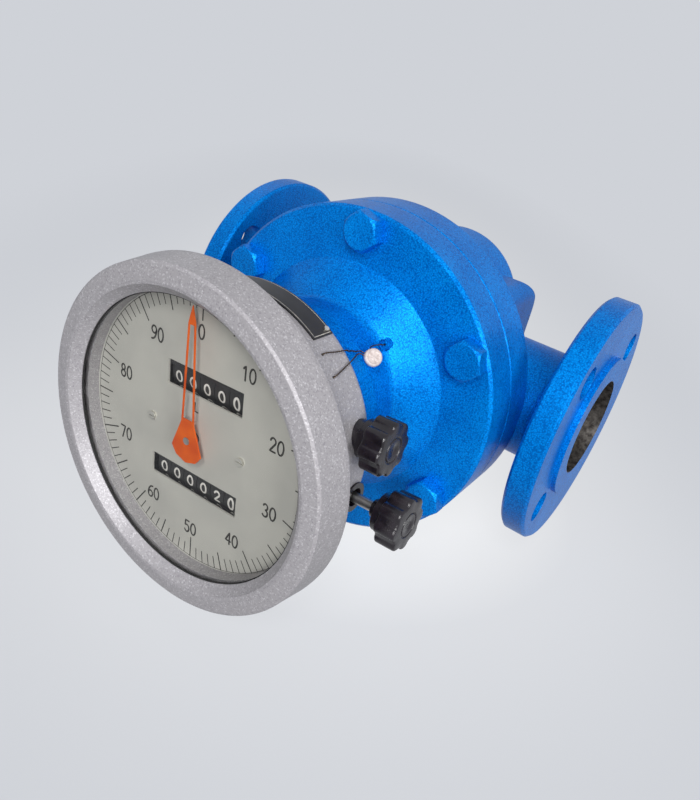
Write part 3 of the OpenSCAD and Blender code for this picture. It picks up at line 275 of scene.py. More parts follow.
@dataclass(frozen=True)
class Figures:
    """Upright figures drawn with one pen, in a cell half as wide as it is high."""

    step: float = 0.12
    spacing: float = 1.22

    @staticmethod
    def arc(cx: float, cy: float, rx: float, ry: float, start: float, stop: float) -> list[Flat]:
        """Return points of an oval arc.

        Args:
            cx: Its centre across the cell.
            cy: Its centre up the cell.
            rx: Its radius across.
            ry: Its radius up.
            start: Angle in degrees that it starts at.
            stop: Angle that it ends at.

        Returns:
            Points about 12 degrees apart.
        """
        count = max(6, int(abs(stop - start) / 12))
        angles = [math.radians(start + (stop - start) * i / count) for i in range(count + 1)]
        return [(cx + rx * math.cos(a), cy + ry * math.sin(a)) for a in angles]

    def lines(self, figure: str) -> list[list[Flat]]:
        """Return the strokes of a figure in its cell, centred on the origin and 1 high.

        Args:
            figure: One character.

        Returns:
            Strokes as lists of points, evenly divided.
        """
        arc = self.arc
        hook = [(0.455 + 0.43 * math.cos(a), 0.27 + 0.69 * math.sin(a))
                for a in (math.radians(88 + 92 * i / 10) for i in range(11))]
        shapes = {
            "0": [arc(0.25, 0.5, 0.225, 0.465, 0, 360)],
            "1": [[(0.12, 0.78), (0.29, 0.965), (0.29, 0.035)]],
            "2": [[*arc(0.25, 0.72, 0.2, 0.245, 170, -28), (0.04, 0.035), (0.46, 0.035)]],
            "3": [arc(0.24, 0.745, 0.175, 0.22, 155, -78), arc(0.24, 0.275, 0.21, 0.245, 80, -150)],
            "4": [[(0.37, 0.035), (0.37, 0.965), (0.03, 0.29), (0.48, 0.29)]],
            "5": [[(0.43, 0.965), (0.11, 0.965), (0.08, 0.54), *arc(0.24, 0.32, 0.21, 0.29, 125, -150)]],
            "6": [arc(0.25, 0.285, 0.21, 0.25, 0, 360), hook],
            "7": [[(0.03, 0.965), (0.46, 0.965), (0.18, 0.035)]],
            "8": [arc(0.25, 0.745, 0.165, 0.215, 0, 360), arc(0.25, 0.28, 0.205, 0.245, 0, 360)],
            "9": [[(0.5 - x, 1 - y) for x, y in line]
                  for line in (arc(0.25, 0.285, 0.21, 0.25, 0, 360), hook)],
            "L": [[(0.06, 0.965), (0.06, 0.035), (0.44, 0.035)]],
        }
        return [self.divided([(x - 0.25, y - 0.5) for x, y in line]) for line in shapes[figure]]

    def divided(self, line: Sequence[Flat]) -> list[Flat]:
        """Return a line cut into short steps, so that it can bend round a drum.

        Args:
            line: Points of the line.

        Returns:
            The same line with more points.
        """
        result = [line[0]]
        for (x0, y0), (x1, y1) in zip(line, line[1:]):
            parts = max(1, math.ceil(math.hypot(x1 - x0, y1 - y0) / self.step))
            result += [(x0 + (x1 - x0) * k / parts, y0 + (y1 - y0) * k / parts)
                       for k in range(1, parts + 1)]
        return result

    def write(self, form: Form, text: str, centre: Flat, height: float, width: float,
              weight: Weight, place: Place) -> None:
        """Draw a word of figures centred on a point.

        Args:
            form: Form that gets the strokes.
            text: Figures to draw.
            centre: Middle of the word.
            height: Height of a figure.
            width: Width of a figure's cell.
            weight: Weight of the strokes.
            place: Takes a flat point to its place on the surface.
        """
        for i, figure in enumerate(text):
            cx = centre[0] + (i - (len(text) - 1) / 2) * width * self.spacing
            for line in self.lines(figure):
                flat = [(cx + x * 2 * width, centre[1] + y * height * (1 - weight.value)) for x, y in line]
                form.stroke(flat, weight.value * height, place)


FIGURES = Figures()


@dataclass(frozen=True)
class Finish(ABC):
    """One finish of the meter. Its sizes are in millimetres and its colours are sRGB hex values."""

    name: str

    def build(self) -> bpy.types.Material:
        """Mix the finish.

        Returns:
            The material.
        """
        material = bpy.data.materials.new(self.name)
        material.use_nodes = True
        tree = material.node_tree
        tree.nodes.clear()
        surface = self.surface(tree, add(tree, "TexCoord").outputs["Object"])
        add(tree, "OutputMaterial", inputs={"Surface": surface})
        return material

    @abstractmethod
    def surface(self, tree: bpy.types.NodeTree, place: bpy.types.NodeSocket) -> bpy.types.NodeSocket:
        """Build the finish's own nodes.

        Args:
            tree: Node tree that gets them.
            place: Place in metres of each point of the surface.

        Returns:
            The shader of the surface.
        """

    @staticmethod
    def relief(tree: bpy.types.NodeTree, edge: float, *layers: tuple[bpy.types.NodeSocket, float, float]
               ) -> bpy.types.NodeSocket:
        """Round the sharp edges and roughen the surface, layer over layer.

        Args:
            tree: Node tree that gets the nodes.
            edge: Radius of the rounded edges; 0 leaves them sharp.
            layers: For each layer its height from 0 to 1, its depth and the share of it that is used.

        Returns:
            The bent normal.
        """
        under: dict[str, bpy.types.NodeSocket] = {}
        if edge:
            under["Normal"] = add(tree, "Bevel", {"samples": 4}, {"Radius": edge * MM}).outputs["Normal"]
        for height, depth, share in layers:
            under["Normal"] = add(tree, "Bump", inputs={
                "Height": height, "Distance": depth * MM, "Strength": share, **under}).outputs["Normal"]
        return under["Normal"]


@dataclass(frozen=True)
class HammeredEnamel(Finish):
    """Hammered stoving enamel, sprayed on rough cast iron, with a bore of bare rusty iron.

    The paint draws into shallow cells about 0.8 mm wide, so the gloss breaks into many small glints.
    The blue is mottled from a lit blue to a shaded blue, darker on the cell rims and in the pits: partly
    a real drift in tone, partly painted highlight and painted shade of the hammered facets. The bore's
    iron is darker than bare iron, partly rust and partly painted shade inside the bore. The paint is
    thick and rounds every edge.
    """

    # lit and shade are a painted highlight blue and a painted shade blue; base lies between them
    lit: str = "#089CF6"
    base: str = "#0084E2"
    shade: str = "#0060B6"
    glint: str = "#5CB4FF"
    # bare and rust are darker than bare iron: partly rust, partly painted shade inside the bore
    bare: str = "#2C2826"
    rust: str = "#6A6662"
    cell: float = 0.8
    sway: float = 0.7
    pit: float = 0.7
    cast: float = 7.0
    cloud: float = 26.0
    crust: float = 3.0
    edge: float = 0.8
    bore: float = 28.7

    def surface(self, tree: bpy.types.NodeTree, place: bpy.types.NodeSocket) -> bpy.types.NodeSocket:
        """Spray the casting and leave its bore bare.

        Args:
            tree: Node tree that gets the nodes.
            place: Place in metres of each point of the surface.

        Returns:
            The shader of the surface.
        """
        sway = add(tree, "TexNoise", inputs={"Vector": place, "Scale": lumps(1.6 * self.cell)})
        bent = add(tree, "VectorMath", {"operation": "MULTIPLY_ADD"}, {
            0: sway.outputs["Color"], 1: (self.sway * MM,) * 3, 2: place}).outputs["Vector"]
        cells = add(tree, "TexVoronoi", {"feature": "SMOOTH_F1"}, {
            "Vector": bent, "Scale": lumps(self.cell), "Smoothness": 0.8}).outputs["Distance"]
        pits, cast, cloud = (add(tree, "TexNoise", inputs={
            "Vector": place, "Scale": lumps(size), "Detail": detail}).outputs["Fac"]
            for size, detail in ((self.pit, 3), (self.cast, 3), (self.cloud, 2)))
        tone: bpy.types.NodeSocket | float = 0.0
        for pattern, share in ((pits, 0.32), (cells, 0.6), (cloud, 0.3)):
            tone = add(tree, "Math", {"operation": "MULTIPLY_ADD"}, {
                0: pattern, 1: share, 2: tone}).outputs[0]
        # Painted highlight and painted shade: the mottling runs from the lit blue to the shaded blue, darker
        # on cell rims and in pits, over a real slow drift in tone
        blue = add(tree, "ValToRGB", inputs={"Fac": tone}, stops=(
            (0.32, self.lit), (0.50, self.base), (0.74, self.shade))).outputs["Color"]
        gloss = add(tree, "MapRange", inputs={"Value": pits, "To Min": 0.25, "To Max": 0.4}).outputs["Result"]
        paint = add(tree, "BsdfPrincipled", inputs={
            "Base Color": blue, "Roughness": gloss, "Metallic": 0.2, "IOR": 1.32, "Specular IOR Level": 0.5,
            "Specular Tint": linear(self.glint),
            "Normal": self.relief(tree, self.edge, (cast, 0.5, 0.5), (cells, 0.09, 0.8), (pits, 0.04, 0.7))})
        crust = add(tree, "TexNoise", inputs={
            "Vector": place, "Scale": lumps(self.crust), "Detail": 4, "Roughness": 0.6}).outputs["Fac"]
        # The bore's colour is partly rust and partly painted shade inside the bore
        brown = add(tree, "ValToRGB", inputs={"Fac": crust}, stops=((0.35, self.bare), (0.7, self.rust)))
        iron = add(tree, "BsdfPrincipled", inputs={
            "Base Color": brown.outputs["Color"], "Metallic": 0.75, "Roughness": 0.48,
            "Normal": self.relief(tree, 0.0, (pits, 0.06, 1.0))})
        across = add(tree, "VectorMath", {"operation": "MULTIPLY"}, {0: place, 1: (0.0, 1.0, 1.0)})
        reach = add(tree, "VectorMath", {"operation": "LENGTH"}, {0: across.outputs["Vector"]})
        inside = add(tree, "Math", {"operation": "LESS_THAN"}, {
            0: reach.outputs["Value"], 1: self.bore * MM}).outputs[0]
        return add(tree, "MixShader", inputs={
            "Fac": inside, 1: paint.outputs[0], 2: iron.outputs[0]}).outputs[0]


@dataclass(frozen=True)
class SilverPaint(Finish):
    """Silver aluminium paint on die-cast aluminium.

    The flakes lie at many angles, so the surface is grey with light and dark flecks of about half a
    millimetre over a faint orange peel. The flecks are real flakes; their light and dark are painted
    glint and painted shade of flakes that catch the light or are turned away. It has a broad soft sheen
    instead of a clear reflection.
    """

    # light and dark are painted glint and painted shade of single flakes; base is the paint's own grey
    base: str = "#A6A3A7"
    light: str = "#C4C2C6"
    dark: str = "#928F94"
    # Real flakes are finer than a tenth of a millimetre; these are as coarse as they need to show
    fleck: float = 0.55
    grain: float = 0.5
    peel: float = 2.2
    edge: float = 0.4

    def surface(self, tree: bpy.types.NodeTree, place: bpy.types.NodeSocket) -> bpy.types.NodeSocket:
        """Spray the flakes.

        Args:
            tree: Node tree that gets the nodes.
            place: Place in metres of each point of the surface.

        Returns:
            The shader of the surface.
        """
        flecks = add(tree, "TexVoronoi", {"feature": "F1"}, {"Vector": place, "Scale": lumps(self.fleck)})
        pick = add(tree, "SeparateColor", inputs={"Color": flecks.outputs["Color"]}).outputs["Red"]
        # Painted glint and painted shade: each flake is coloured lighter or darker than the base grey
        grey = add(tree, "ValToRGB", inputs={"Fac": pick}, stops=(
            (0.0, self.dark), (0.22, self.base), (0.78, self.base), (1.0, self.light))).outputs["Color"]
        peel, fine = (add(tree, "TexNoise", inputs={"Vector": place, "Scale": lumps(size)}).outputs["Fac"]
                      for size in (self.peel, self.grain))
        return add(tree, "BsdfPrincipled", inputs={
            "Base Color": grey, "Metallic": 0.15, "Roughness": 0.45,
            "Normal": self.relief(tree, self.edge, (peel, 0.12, 0.7), (fine, 0.05, 0.8))}).outputs[0]


@dataclass(frozen=True)
class PlainPaint(Finish):
    """A flat coat of paint or printing ink.

    It is nearly even, with a faint drift in tone and a fine tooth that keeps its gloss down.
    """

    base: str
    worn: str
    rough: float = 0.55
    drift: float = 18.0
    tooth: float = 0.4
    edge: float = 0.0
    gloss: float = 0.5

    def surface(self, tree: bpy.types.NodeTree, place: bpy.types.NodeSocket) -> bpy.types.NodeSocket:
        """Lay the coat.

        Args:
            tree: Node tree that gets the nodes.
            place: Place in metres of each point of the surface.

        Returns:
            The shader of the surface.
        """
        drift, tooth = (add(tree, "TexNoise", inputs={
            "Vector": place, "Scale": lumps(size), "Detail": detail}).outputs["Fac"]
            for size, detail in ((self.drift, 3), (self.tooth, 2)))
        tone = add(tree, "ValToRGB", inputs={"Fac": drift}, stops=((0.36, self.base), (0.66, self.worn)))
        return add(tree, "BsdfPrincipled", inputs={
            "Base Color": tone.outputs["Color"], "Roughness": self.rough, "IOR": 1.5,
            "Specular IOR Level": self.gloss,
            "Normal": self.relief(tree, self.edge, (tooth, 0.02, 0.6))}).outputs[0]


@dataclass(frozen=True)
class MouldedPlastic(Finish):
    """Phenolic or ABS from a polished mould.

    It is glossy with slightly rounded edges, a faint flow in its gloss and a trace of handling.
    """

    base: str = "#151116"
    worn: str = "#241D24"
    rough: float = 0.22
    wear: float = 5.0
    flow: float = 2.5
    skin: float = 1.2
    edge: float = 0.5

    def surface(self, tree: bpy.types.NodeTree, place: bpy.types.NodeSocket) -> bpy.types.NodeSocket:
        """Mould the plastic.

        Args:
            tree: Node tree that gets the nodes.
            place: Place in metres of each point of the surface.

        Returns:
            The shader of the surface.
        """
        wear, flow, skin = (add(tree, "TexNoise", inputs={
            "Vector": place, "Scale": lumps(size), "Detail": detail}).outputs["Fac"]
            for size, detail in ((self.wear, 4), (self.flow, 3), (self.skin, 2)))
        tone = add(tree, "ValToRGB", inputs={"Fac": wear}, stops=((0.4, self.base), (0.75, self.worn)))
        gloss = add(tree, "MapRange", inputs={
            "Value": flow, "To Min": self.rough - 0.06, "To Max": self.rough + 0.12}).outputs["Result"]
        return add(tree, "BsdfPrincipled", inputs={
            "Base Color": tone.outputs["Color"], "Roughness": gloss, "IOR": 1.54,
            "Normal": self.relief(tree, self.edge, (skin, 0.03, 0.6))}).outputs[0]


@dataclass(frozen=True)
class TurnedMetal(Finish):
    """Bare metal from the lathe or the mill.

    Fine tool lines run round or along it, and stretch its highlights; between them it is clean, with
    a little oil and oxide drifting over it.
    """

    base: str = "#B4B3B1"
    dull: str = "#8E8D8B"
    rough: float = 0.32
    oxide: float = 6.0
    # Real tool lines lie about a tenth of a millimetre apart; these are as coarse as they need to show
    line: float = 0.25
    stretch: float = 12.0
    edge: float = 0.2

    def surface(self, tree: bpy.types.NodeTree, place: bpy.types.NodeSocket) -> bpy.types.NodeSocket:
        """Turn the metal.

        Args:
            tree: Node tree that gets the nodes.
            place: Place in metres of each point of the surface.

        Returns:
            The shader of the surface.
        """
        oxide = add(tree, "TexNoise", inputs={
            "Vector": place, "Scale": lumps(self.oxide), "Detail": 4, "Roughness": 0.6}).outputs["Fac"]
        tone = add(tree, "ValToRGB", inputs={"Fac": oxide}, stops=((0.35, self.base), (0.72, self.dull)))
        drawn = add(tree, "Mapping", inputs={"Vector": place, "Scale": (1.0, self.stretch, 1.0)})
        lines = add(tree, "TexNoise", inputs={
            "Vector": drawn.outputs["Vector"], "Scale": lumps(self.stretch * self.line),
            "Detail": 3}).outputs["Fac"]
        gloss = add(tree, "MapRange", inputs={
            "Value": lines, "To Min": self.rough - 0.08, "To Max": self.rough + 0.14}).outputs["Result"]
        return add(tree, "BsdfPrincipled", inputs={
            "Base Color": tone.outputs["Color"], "Metallic": 1.0, "Roughness": gloss,
            "Normal": self.relief(tree, self.edge, (lines, 0.02, 0.7))}).outputs[0]


@dataclass(frozen=True)
class WindowGlass(Finish):
    """Float glass 2.5 mm thick, clear, that mirrors more the flatter it is looked at.

    A faint smear from cleaning breaks up its reflection. Only the side towards the viewer mirrors.
    """

    tint: str = "#F8F8F7"
    veil: str = "#FFFFFF"
    smear: float = 14.0

    def surface(self, tree: bpy.types.NodeTree, place: bpy.types.NodeSocket) -> bpy.types.NodeSocket:
        """Float the glass.

        Args:
            tree: Node tree that gets the nodes.
            place: Place in metres of each point of the surface.

        Returns:
            The shader of the surface.
        """
        smear = add(tree, "TexNoise", inputs={
            "Vector": place, "Scale": lumps(self.smear), "Detail": 3}).outputs["Fac"]
        haze = add(tree, "MapRange", inputs={"Value": smear, "To Min": 0.0, "To Max": 0.04}).outputs["Result"]
        clear = add(tree, "BsdfTransparent", inputs={"Color": linear(self.tint)})
        mirror = add(tree, "BsdfGlossy", inputs={
            "Color": linear(self.veil), "Roughness": haze,
            "Normal": self.relief(tree, 0.0, (smear, 0.01, 0.3))})
        outside = add(tree, "Math", {"operation": "SUBTRACT"}, {
            0: 1.0, 1: add(tree, "NewGeometry").outputs["Backfacing"]}).outputs[0]
        share = add(tree, "Math", {"operation": "MULTIPLY"}, {
            0: add(tree, "Fresnel", inputs={"IOR": 1.3}).outputs[0], 1: outside}).outputs[0]
        return add(tree, "MixShader", inputs={
            "Fac": share, 1: clear.outputs[0], 2: mirror.outputs[0]}).outputs[0]


@dataclass(frozen=True)
class StudioPaper(Finish):
    """Seamless background paper, palest in an oval round the meter.

    The camera, metal and glass see its pale colours, palest near the meter: a painted pool of light.
    The light that it throws back is much darker, so that the underside of the meter stays in shade.
    """

    # near, middle and far grade the paper from the meter outwards: a painted pool of light
    near: str = "#FCFDFE"
    middle: str = "#E0E2E6"
    far: str = "#CFD2D8"
    thrown: str = "#34363A"
    centre: tuple[float, float, float] = (103.0, -20.0, -93.6)
    reach: float = 400.0
    shadow: Flat = (150.0, 500.0)
    turn: float = 29.7
    before: float = 1.1
    behind: float = 0.3

    def surface(self, tree: bpy.types.NodeTree, place: bpy.types.NodeSocket) -> bpy.types.NodeSocket:
        """Lay the paper.

        Args:
            tree: Node tree that gets the nodes.
            place: Place in metres of each point of the surface.

        Returns:
            The shader of the surface.
        """
        turned = add(tree, "Mapping", {"vector_type": "TEXTURE"}, {
            "Vector": place, "Location": tuple(v * MM for v in self.centre),
            "Rotation": (0.0, 0.0, math.radians(self.turn))}).outputs["Vector"]
        split = add(tree, "SeparateXYZ", inputs={"Vector": turned}).outputs
        behind, before = (add(tree, "Math", {"operation": "MULTIPLY"}, {0: split["Y"], 1: squeeze}).outputs[0]
                          for squeeze in (self.behind, -self.before))
        depth = add(tree, "Math", {"operation": "MAXIMUM"}, {0: behind, 1: before}).outputs[0]
        oval = add(tree, "CombineXYZ", inputs={"X": split["X"], "Y": depth}).outputs["Vector"]
        away = add(tree, "VectorMath", {"operation": "LENGTH"}, {0: oval}).outputs["Value"]
        fade = add(tree, "MapRange", {"interpolation_type": "SMOOTHERSTEP"}, {
            "Value": away, "From Max": self.reach * MM}).outputs["Result"]
        # Painted pool of light: the paper is painted palest near the meter and greyer far away
        pale = add(tree, "ValToRGB", inputs={"Fac": fade}, stops=(
            (0.0, self.near), (0.35, self.middle), (1.0, self.far))).outputs["Color"]
        thrown = add(tree, "BsdfDiffuse", inputs={"Color": linear(self.thrown)}).outputs[0]
        shaded = add(tree, "BsdfDiffuse", inputs={"Color": pale}).outputs[0]
        paper = add(tree, "MixShader", inputs={
            "Fac": add(tree, "LightPath").outputs["Is Camera Ray"], 1: thrown, 2: shaded}).outputs[0]
        shown = add(tree, "Emission", inputs={"Color": pale}).outputs[0]
        # Near the meter a little of the paper is lit by the lamps, so that its shadow shows
        even = add(tree, "MapRange", inputs={
            "Value": away, "From Min": self.shadow[0] * MM, "From Max": self.shadow[1] * MM,
            "To Min": 0.84, "To Max": 1.0}).outputs["Result"]
        part = add(tree, "Math", {"operation": "MULTIPLY"}, {0: seen_by(tree), 1: even}).outputs[0]
        return add(tree, "MixShader", inputs={"Fac": part, 1: paper, 2: shown}).outputs[0]


class Finishes:
    """All finishes of the meter, each built once."""

    def __init__(self) -> None:
        """Build every finish."""
        self.enamel = HammeredEnamel("hammered_enamel").build()
        self.silver = SilverPaint("silver_paint_on_casting").build()
        # Printed dial: neutral grey lacquer, satin, that drifts to a duller tone in places
        self.dial = PlainPaint("dial_lacquer", "#C9C8C2", "#BEBDB8", rough=0.5, drift=24).build()
        # Screen printed ink, thin and matt
        self.ink = PlainPaint("printing_ink", "#24211F", "#383532", rough=0.6, drift=4).build()
        # Printed figures on the drums: a slightly raised white, cleaner than the dial
        self.white = PlainPaint("drum_figure_white", "#F0EEEA", "#DDD9D4", rough=0.5, drift=3).build()
        self.knob = MouldedPlastic("moulded_phenolic").build()
        # Drums are moulded nylon: satin, a little greyer than the knobs
        self.drum = MouldedPlastic("drum_nylon", "#121112", "#1C1B1C", rough=0.42, edge=0.3).build()
        # Pointer: matt signal orange sprayed on thin sheet, redder in places
        self.pointer = PlainPaint("pointer_orange", "#F26A0A", "#DC5204", rough=0.5, drift=9, edge=0.15,
                                  gloss=0.2).build()
        # Black stoving paint on the thin plate round the case
        self.plate = PlainPaint("plate_black", "#141315", "#201F21", rough=0.42, drift=7, edge=0.2).build()
        # Nitrile rubber: dead black with a soft sheen
        self.rubber = PlainPaint("nitrile_rubber", "#141414", "#1D1D1D", rough=0.7, drift=5).build()
        self.steel = TurnedMetal("machined_steel").build()
        # Zinc plated screws: paler and warmer than bare steel, with a soft shine
        self.zinc = TurnedMetal("zinc_plate", "#E4E2DA", "#C6C4BC", rough=0.42).build()
        # Ground cast iron: grey and a little dark, with coarser lines than turned steel
        self.cast_gear = TurnedMetal("ground_cast_iron", "#85837F", "#66645F", rough=0.4, line=0.4).build()
        # Turned stainless steel: pale, clean and brighter than the rest
        self.stainless = TurnedMetal("turned_stainless", "#BDBBB7", "#A3A19D", rough=0.24).build()
        # Turned tin bronze, warm and a little dull
        self.bronze = TurnedMetal("turned_bronze", "#C29A5B", "#94703C", rough=0.3).build()
        # Magnet cups: phosphated steel, dark and dull
        self.magnet = TurnedMetal("magnet_cup_steel", "#77767A", "#57565A", rough=0.42).build()
        # Annealed iron seal wire, dark brown with a dull sheen
        self.wire = TurnedMetal("annealed_seal_wire", "#6A5A4C", "#3C322A", rough=0.45, line=0.1).build()
        # Cast lead under a near white oxide bloom, with a soft shine where the pliers pressed it
        self.lead = PlainPaint("crimped_lead", "#D9CDC9", "#BFB0AB", rough=0.38, drift=1.6, tooth=0.6,
                               edge=0.4).build()
        # A line engraved through the plate's paint and filled pale
        self.line = PlainPaint("plate_line", "#C9C5BE", "#A9A59E", rough=0.4, drift=3).build()
        self.glass = WindowGlass("window_glass").build()
        self.paper = StudioPaper("studio_paper").build()


@dataclass
class Casting:
    """The cast body with its cover, bolts and sleeve, all under one coat of enamel."""

    nodes: tuple[str, ...] = ("meter_body", "front_cover", "cover_bolts", "neck_adapter", "seal_screw")

    def dress(self, nodes: Nodes, finishes: Finishes) -> None:
        """Give the painted castings their enamel."""
        paint(nodes, self.nodes, finishes.enamel)


@dataclass
class Movement:
    """Gears, shafts, plates and screws inside the meter, by what they are made of."""

    machined: tuple[str, ...] = ("rear_bearing_plate", "chamber_plate", "register_frame",
                                 "upper_gear_shaft", "lower_gear_shaft", "follower_shaft", "output_shaft")
    plated: tuple[str, ...] = ("chamber_screws", "clamp_ring_screws", "case_screws", "drum_shafts",
                               "nameplate_rivets", "dial_screws")
    turned: tuple[str, ...] = ("gear_bushes", "gearbox_frame", "centre_wheel", "first_idler",
                               "second_idler", "output_wheel", "upper_cross_shaft", "lower_cross_shaft",
                               "upper_slide_collar", "lower_slide_collar")
    stainless: tuple[str, ...] = ("separating_disc", "clamp_ring")
    gears: tuple[str, ...] = ("upper_oval_gear", "lower_oval_gear")
    magnets: tuple[str, ...] = ("drive_magnet", "driven_magnet")
    seals: tuple[str, ...] = ("cover_o_ring", "glass_gasket")

    def dress(self, nodes: Nodes, finishes: Finishes) -> None:
        """Give each inner piece the finish of its metal or rubber.

        Args:
            nodes: The frame's objects by name.
            finishes: The meter's finishes.
        """
        for names, finish in ((self.machined, finishes.steel), (self.plated, finishes.zinc),
                              (self.turned, finishes.bronze), (self.stainless, finishes.stainless),
                              (self.gears, finishes.cast_gear), (self.magnets, finishes.magnet),
                              (self.seals, finishes.rubber)):
            paint(nodes, names, finish)


def paint(nodes: Nodes, names: Iterable[str], finish: bpy.types.Material) -> None:
    """Put a finish in every material slot of the named nodes.

    Args:
        nodes: The frame's objects by name.
        names: Nodes to paint.
        finish: Material that they get.
    """
    for name in names:
        node = nodes[name]
        for place in node.material_slots:
            place.material = finish
        LOG.info("%s: %s", name, finish.name)


@dataclass
class Dial:
    """The printed dial with its scale, its unit letter and its pointer."""

    face: float = 185.0
    ink: float = 0.05
    arc: float = 66.0
    arc_width: float = 0.3
    arc_parts: int = 240
    line: float = 0.5
    bold_line: float = 0.675
    tens: float = 55.3
    fives: float = 57.1
    units: float = 59.8
    divisions: int = 100
    scale_centre: Flat = (0.8, 0.4)
    numerals: tuple[Flat, ...] = ((0.6, 50.4), (27.9, 41.1), (45.8, 15.8), (45.5, -16.7), (26.1, -42.1),
                                  (-0.1, -49.6), (-25.9, -42.4), (-46.1, -17.7), (-46.2, 15.0), (-25.9, 40.7))
    numeral: Flat = (7.7, 3.4)
    letter: Flat = (5.2, 2.6)
    letter_y: float = 14.8

    def place(self, x: float, y: float) -> Vector:
        """Return the place of a printed point."""
        return HEAD.at(x, y, self.face + self.ink)

    def on_circle(self, radius: float, share: float) -> Flat:
        """Return the point at a share of the scale's turn, clockwise from its zero."""
        a = 2 * math.pi * share
        return self.scale_centre[0] + radius * math.sin(a), self.scale_centre[1] + radius * math.cos(a)

    def build(self, finishes: Finishes) -> None:
        """Print the scale and its figures.

        Args:
            finishes: The meter's finishes.
        """
        scale = Form()
        circle = [self.on_circle(self.arc, i / self.arc_parts) for i in reversed(range(self.arc_parts + 1))]
        scale.stroke(circle, self.arc_width, self.place)
        for i in range(self.divisions):
            inner = self.tens if i % 10 == 0 else self.fives if i % 5 == 0 else self.units
            mark = [self.on_circle(r, i / self.divisions) for r in (inner, self.arc)]
            scale.stroke(mark, self.line if i % 5 else self.bold_line, self.place)
        scale.make("dial_scale_print", finishes.ink, "meter", smooth=0)
        figures = Form()
        for tens, centre in enumerate(self.numerals):
            text = f"{tens}0" if tens else "0"
            FIGURES.write(figures, text, centre, *self.numeral, Weight.SCALE, self.place)
        FIGURES.write(figures, "L", (0.0, self.letter_y), *self.letter, Weight.LETTER, self.place)
        figures.make("dial_figures_print", finishes.ink, "meter", smooth=0)

    def dress(self, nodes: Nodes, finishes: Finishes) -> None:
        """Give the dial and the pointer their paint."""
        paint(nodes, ("dial_plate",), finishes.dial)
        paint(nodes, ("pointer",), finishes.pointer)


@dataclass
class DrumRow:
    """One row of number drums with the figures printed round each of them.

    sense is the way that the figures rise, low how far a figure stands below the drum's front, and
    rolled the degrees that a drum has moved on from its nought.
    """

    row: Row
    count: int
    first_x: float
    y: float
    sense: int
    low: float
    rolled: dict[int, float] = field(default_factory=dict)
    pitch: float = 8.6
    radius: float = 13.0
    axis_s: float = 170.4
    ink: float = 0.03
    figure: Flat = (6.3, 3.6)
    last_figure: Flat = (7.3, 3.2)
    apart: float = 36.0

    def build(self, finishes: Finishes) -> None:
        """Print ten figures round each drum.

        Args:
            finishes: The meter's finishes.
        """
        for number in range(1, self.count + 1):
            form = Form()
            size = self.last_figure if number == self.count else self.figure
            middle = self.first_x + (number - 1) * self.pitch
            for figure in range(10):
                turned = self.sense * self.apart * figure + self.rolled.get(number, 0.0)
                surface = self.wrapped(middle, math.radians(turned) - self.low / self.radius)
                FIGURES.write(form, str(figure), (0.0, 0.0), *size, Weight.DRUM, surface)
            body = f"{self.row.value}_drum_{number}"
            form.make(f"{body}_figures", finishes.white, body, smooth=0)

    def wrapped(self, middle: float, turn: float) -> Place:
        """Return what takes a flat point to the drum's surface.

        Args:
            middle: Middle of the drum along its shaft.
            turn: Angle of the figure above the front, in radians.

        Returns:
            The function that places a point.
        """
        radius = self.radius + self.ink

        def place(u: float, v: float) -> Vector:
            """Return the place of a point on the drum."""
            a = turn + v / radius
            return HEAD.at(middle + u, self.y + radius * math.sin(a), self.axis_s + radius * math.cos(a))

        return place

    def dress(self, nodes: Nodes, finishes: Finishes) -> None:
        """Give the drums their plastic."""
        paint(nodes, (f"{self.row.value}_drum_{i}" for i in range(1, self.count + 1)), finishes.drum)


@dataclass
class Shutters:
    """Black strips behind the dial that narrow its windows to the figures that count."""

    faces: Flat = (183.65, 183.9)
    strips: tuple[tuple[float, float, float, float], ...] = (
        (-19.5, 29.3, 27.4, 33.5), (-28.2, -20.6, 27.9, -17.6))

    def build(self, finishes: Finishes) -> None:
        """Cut the strips.

        Args:
            finishes: The meter's finishes.
        """
        form = Form()
        for x0, y0, x1, y1 in self.strips:
            form.loft([[HEAD.at(x, y, s) for x, y in ((x0, y0), (x1, y0), (x1, y1), (x0, y1))]
                       for s in self.faces])
        form.make("window_shutters", finishes.plate, "meter", smooth=0)


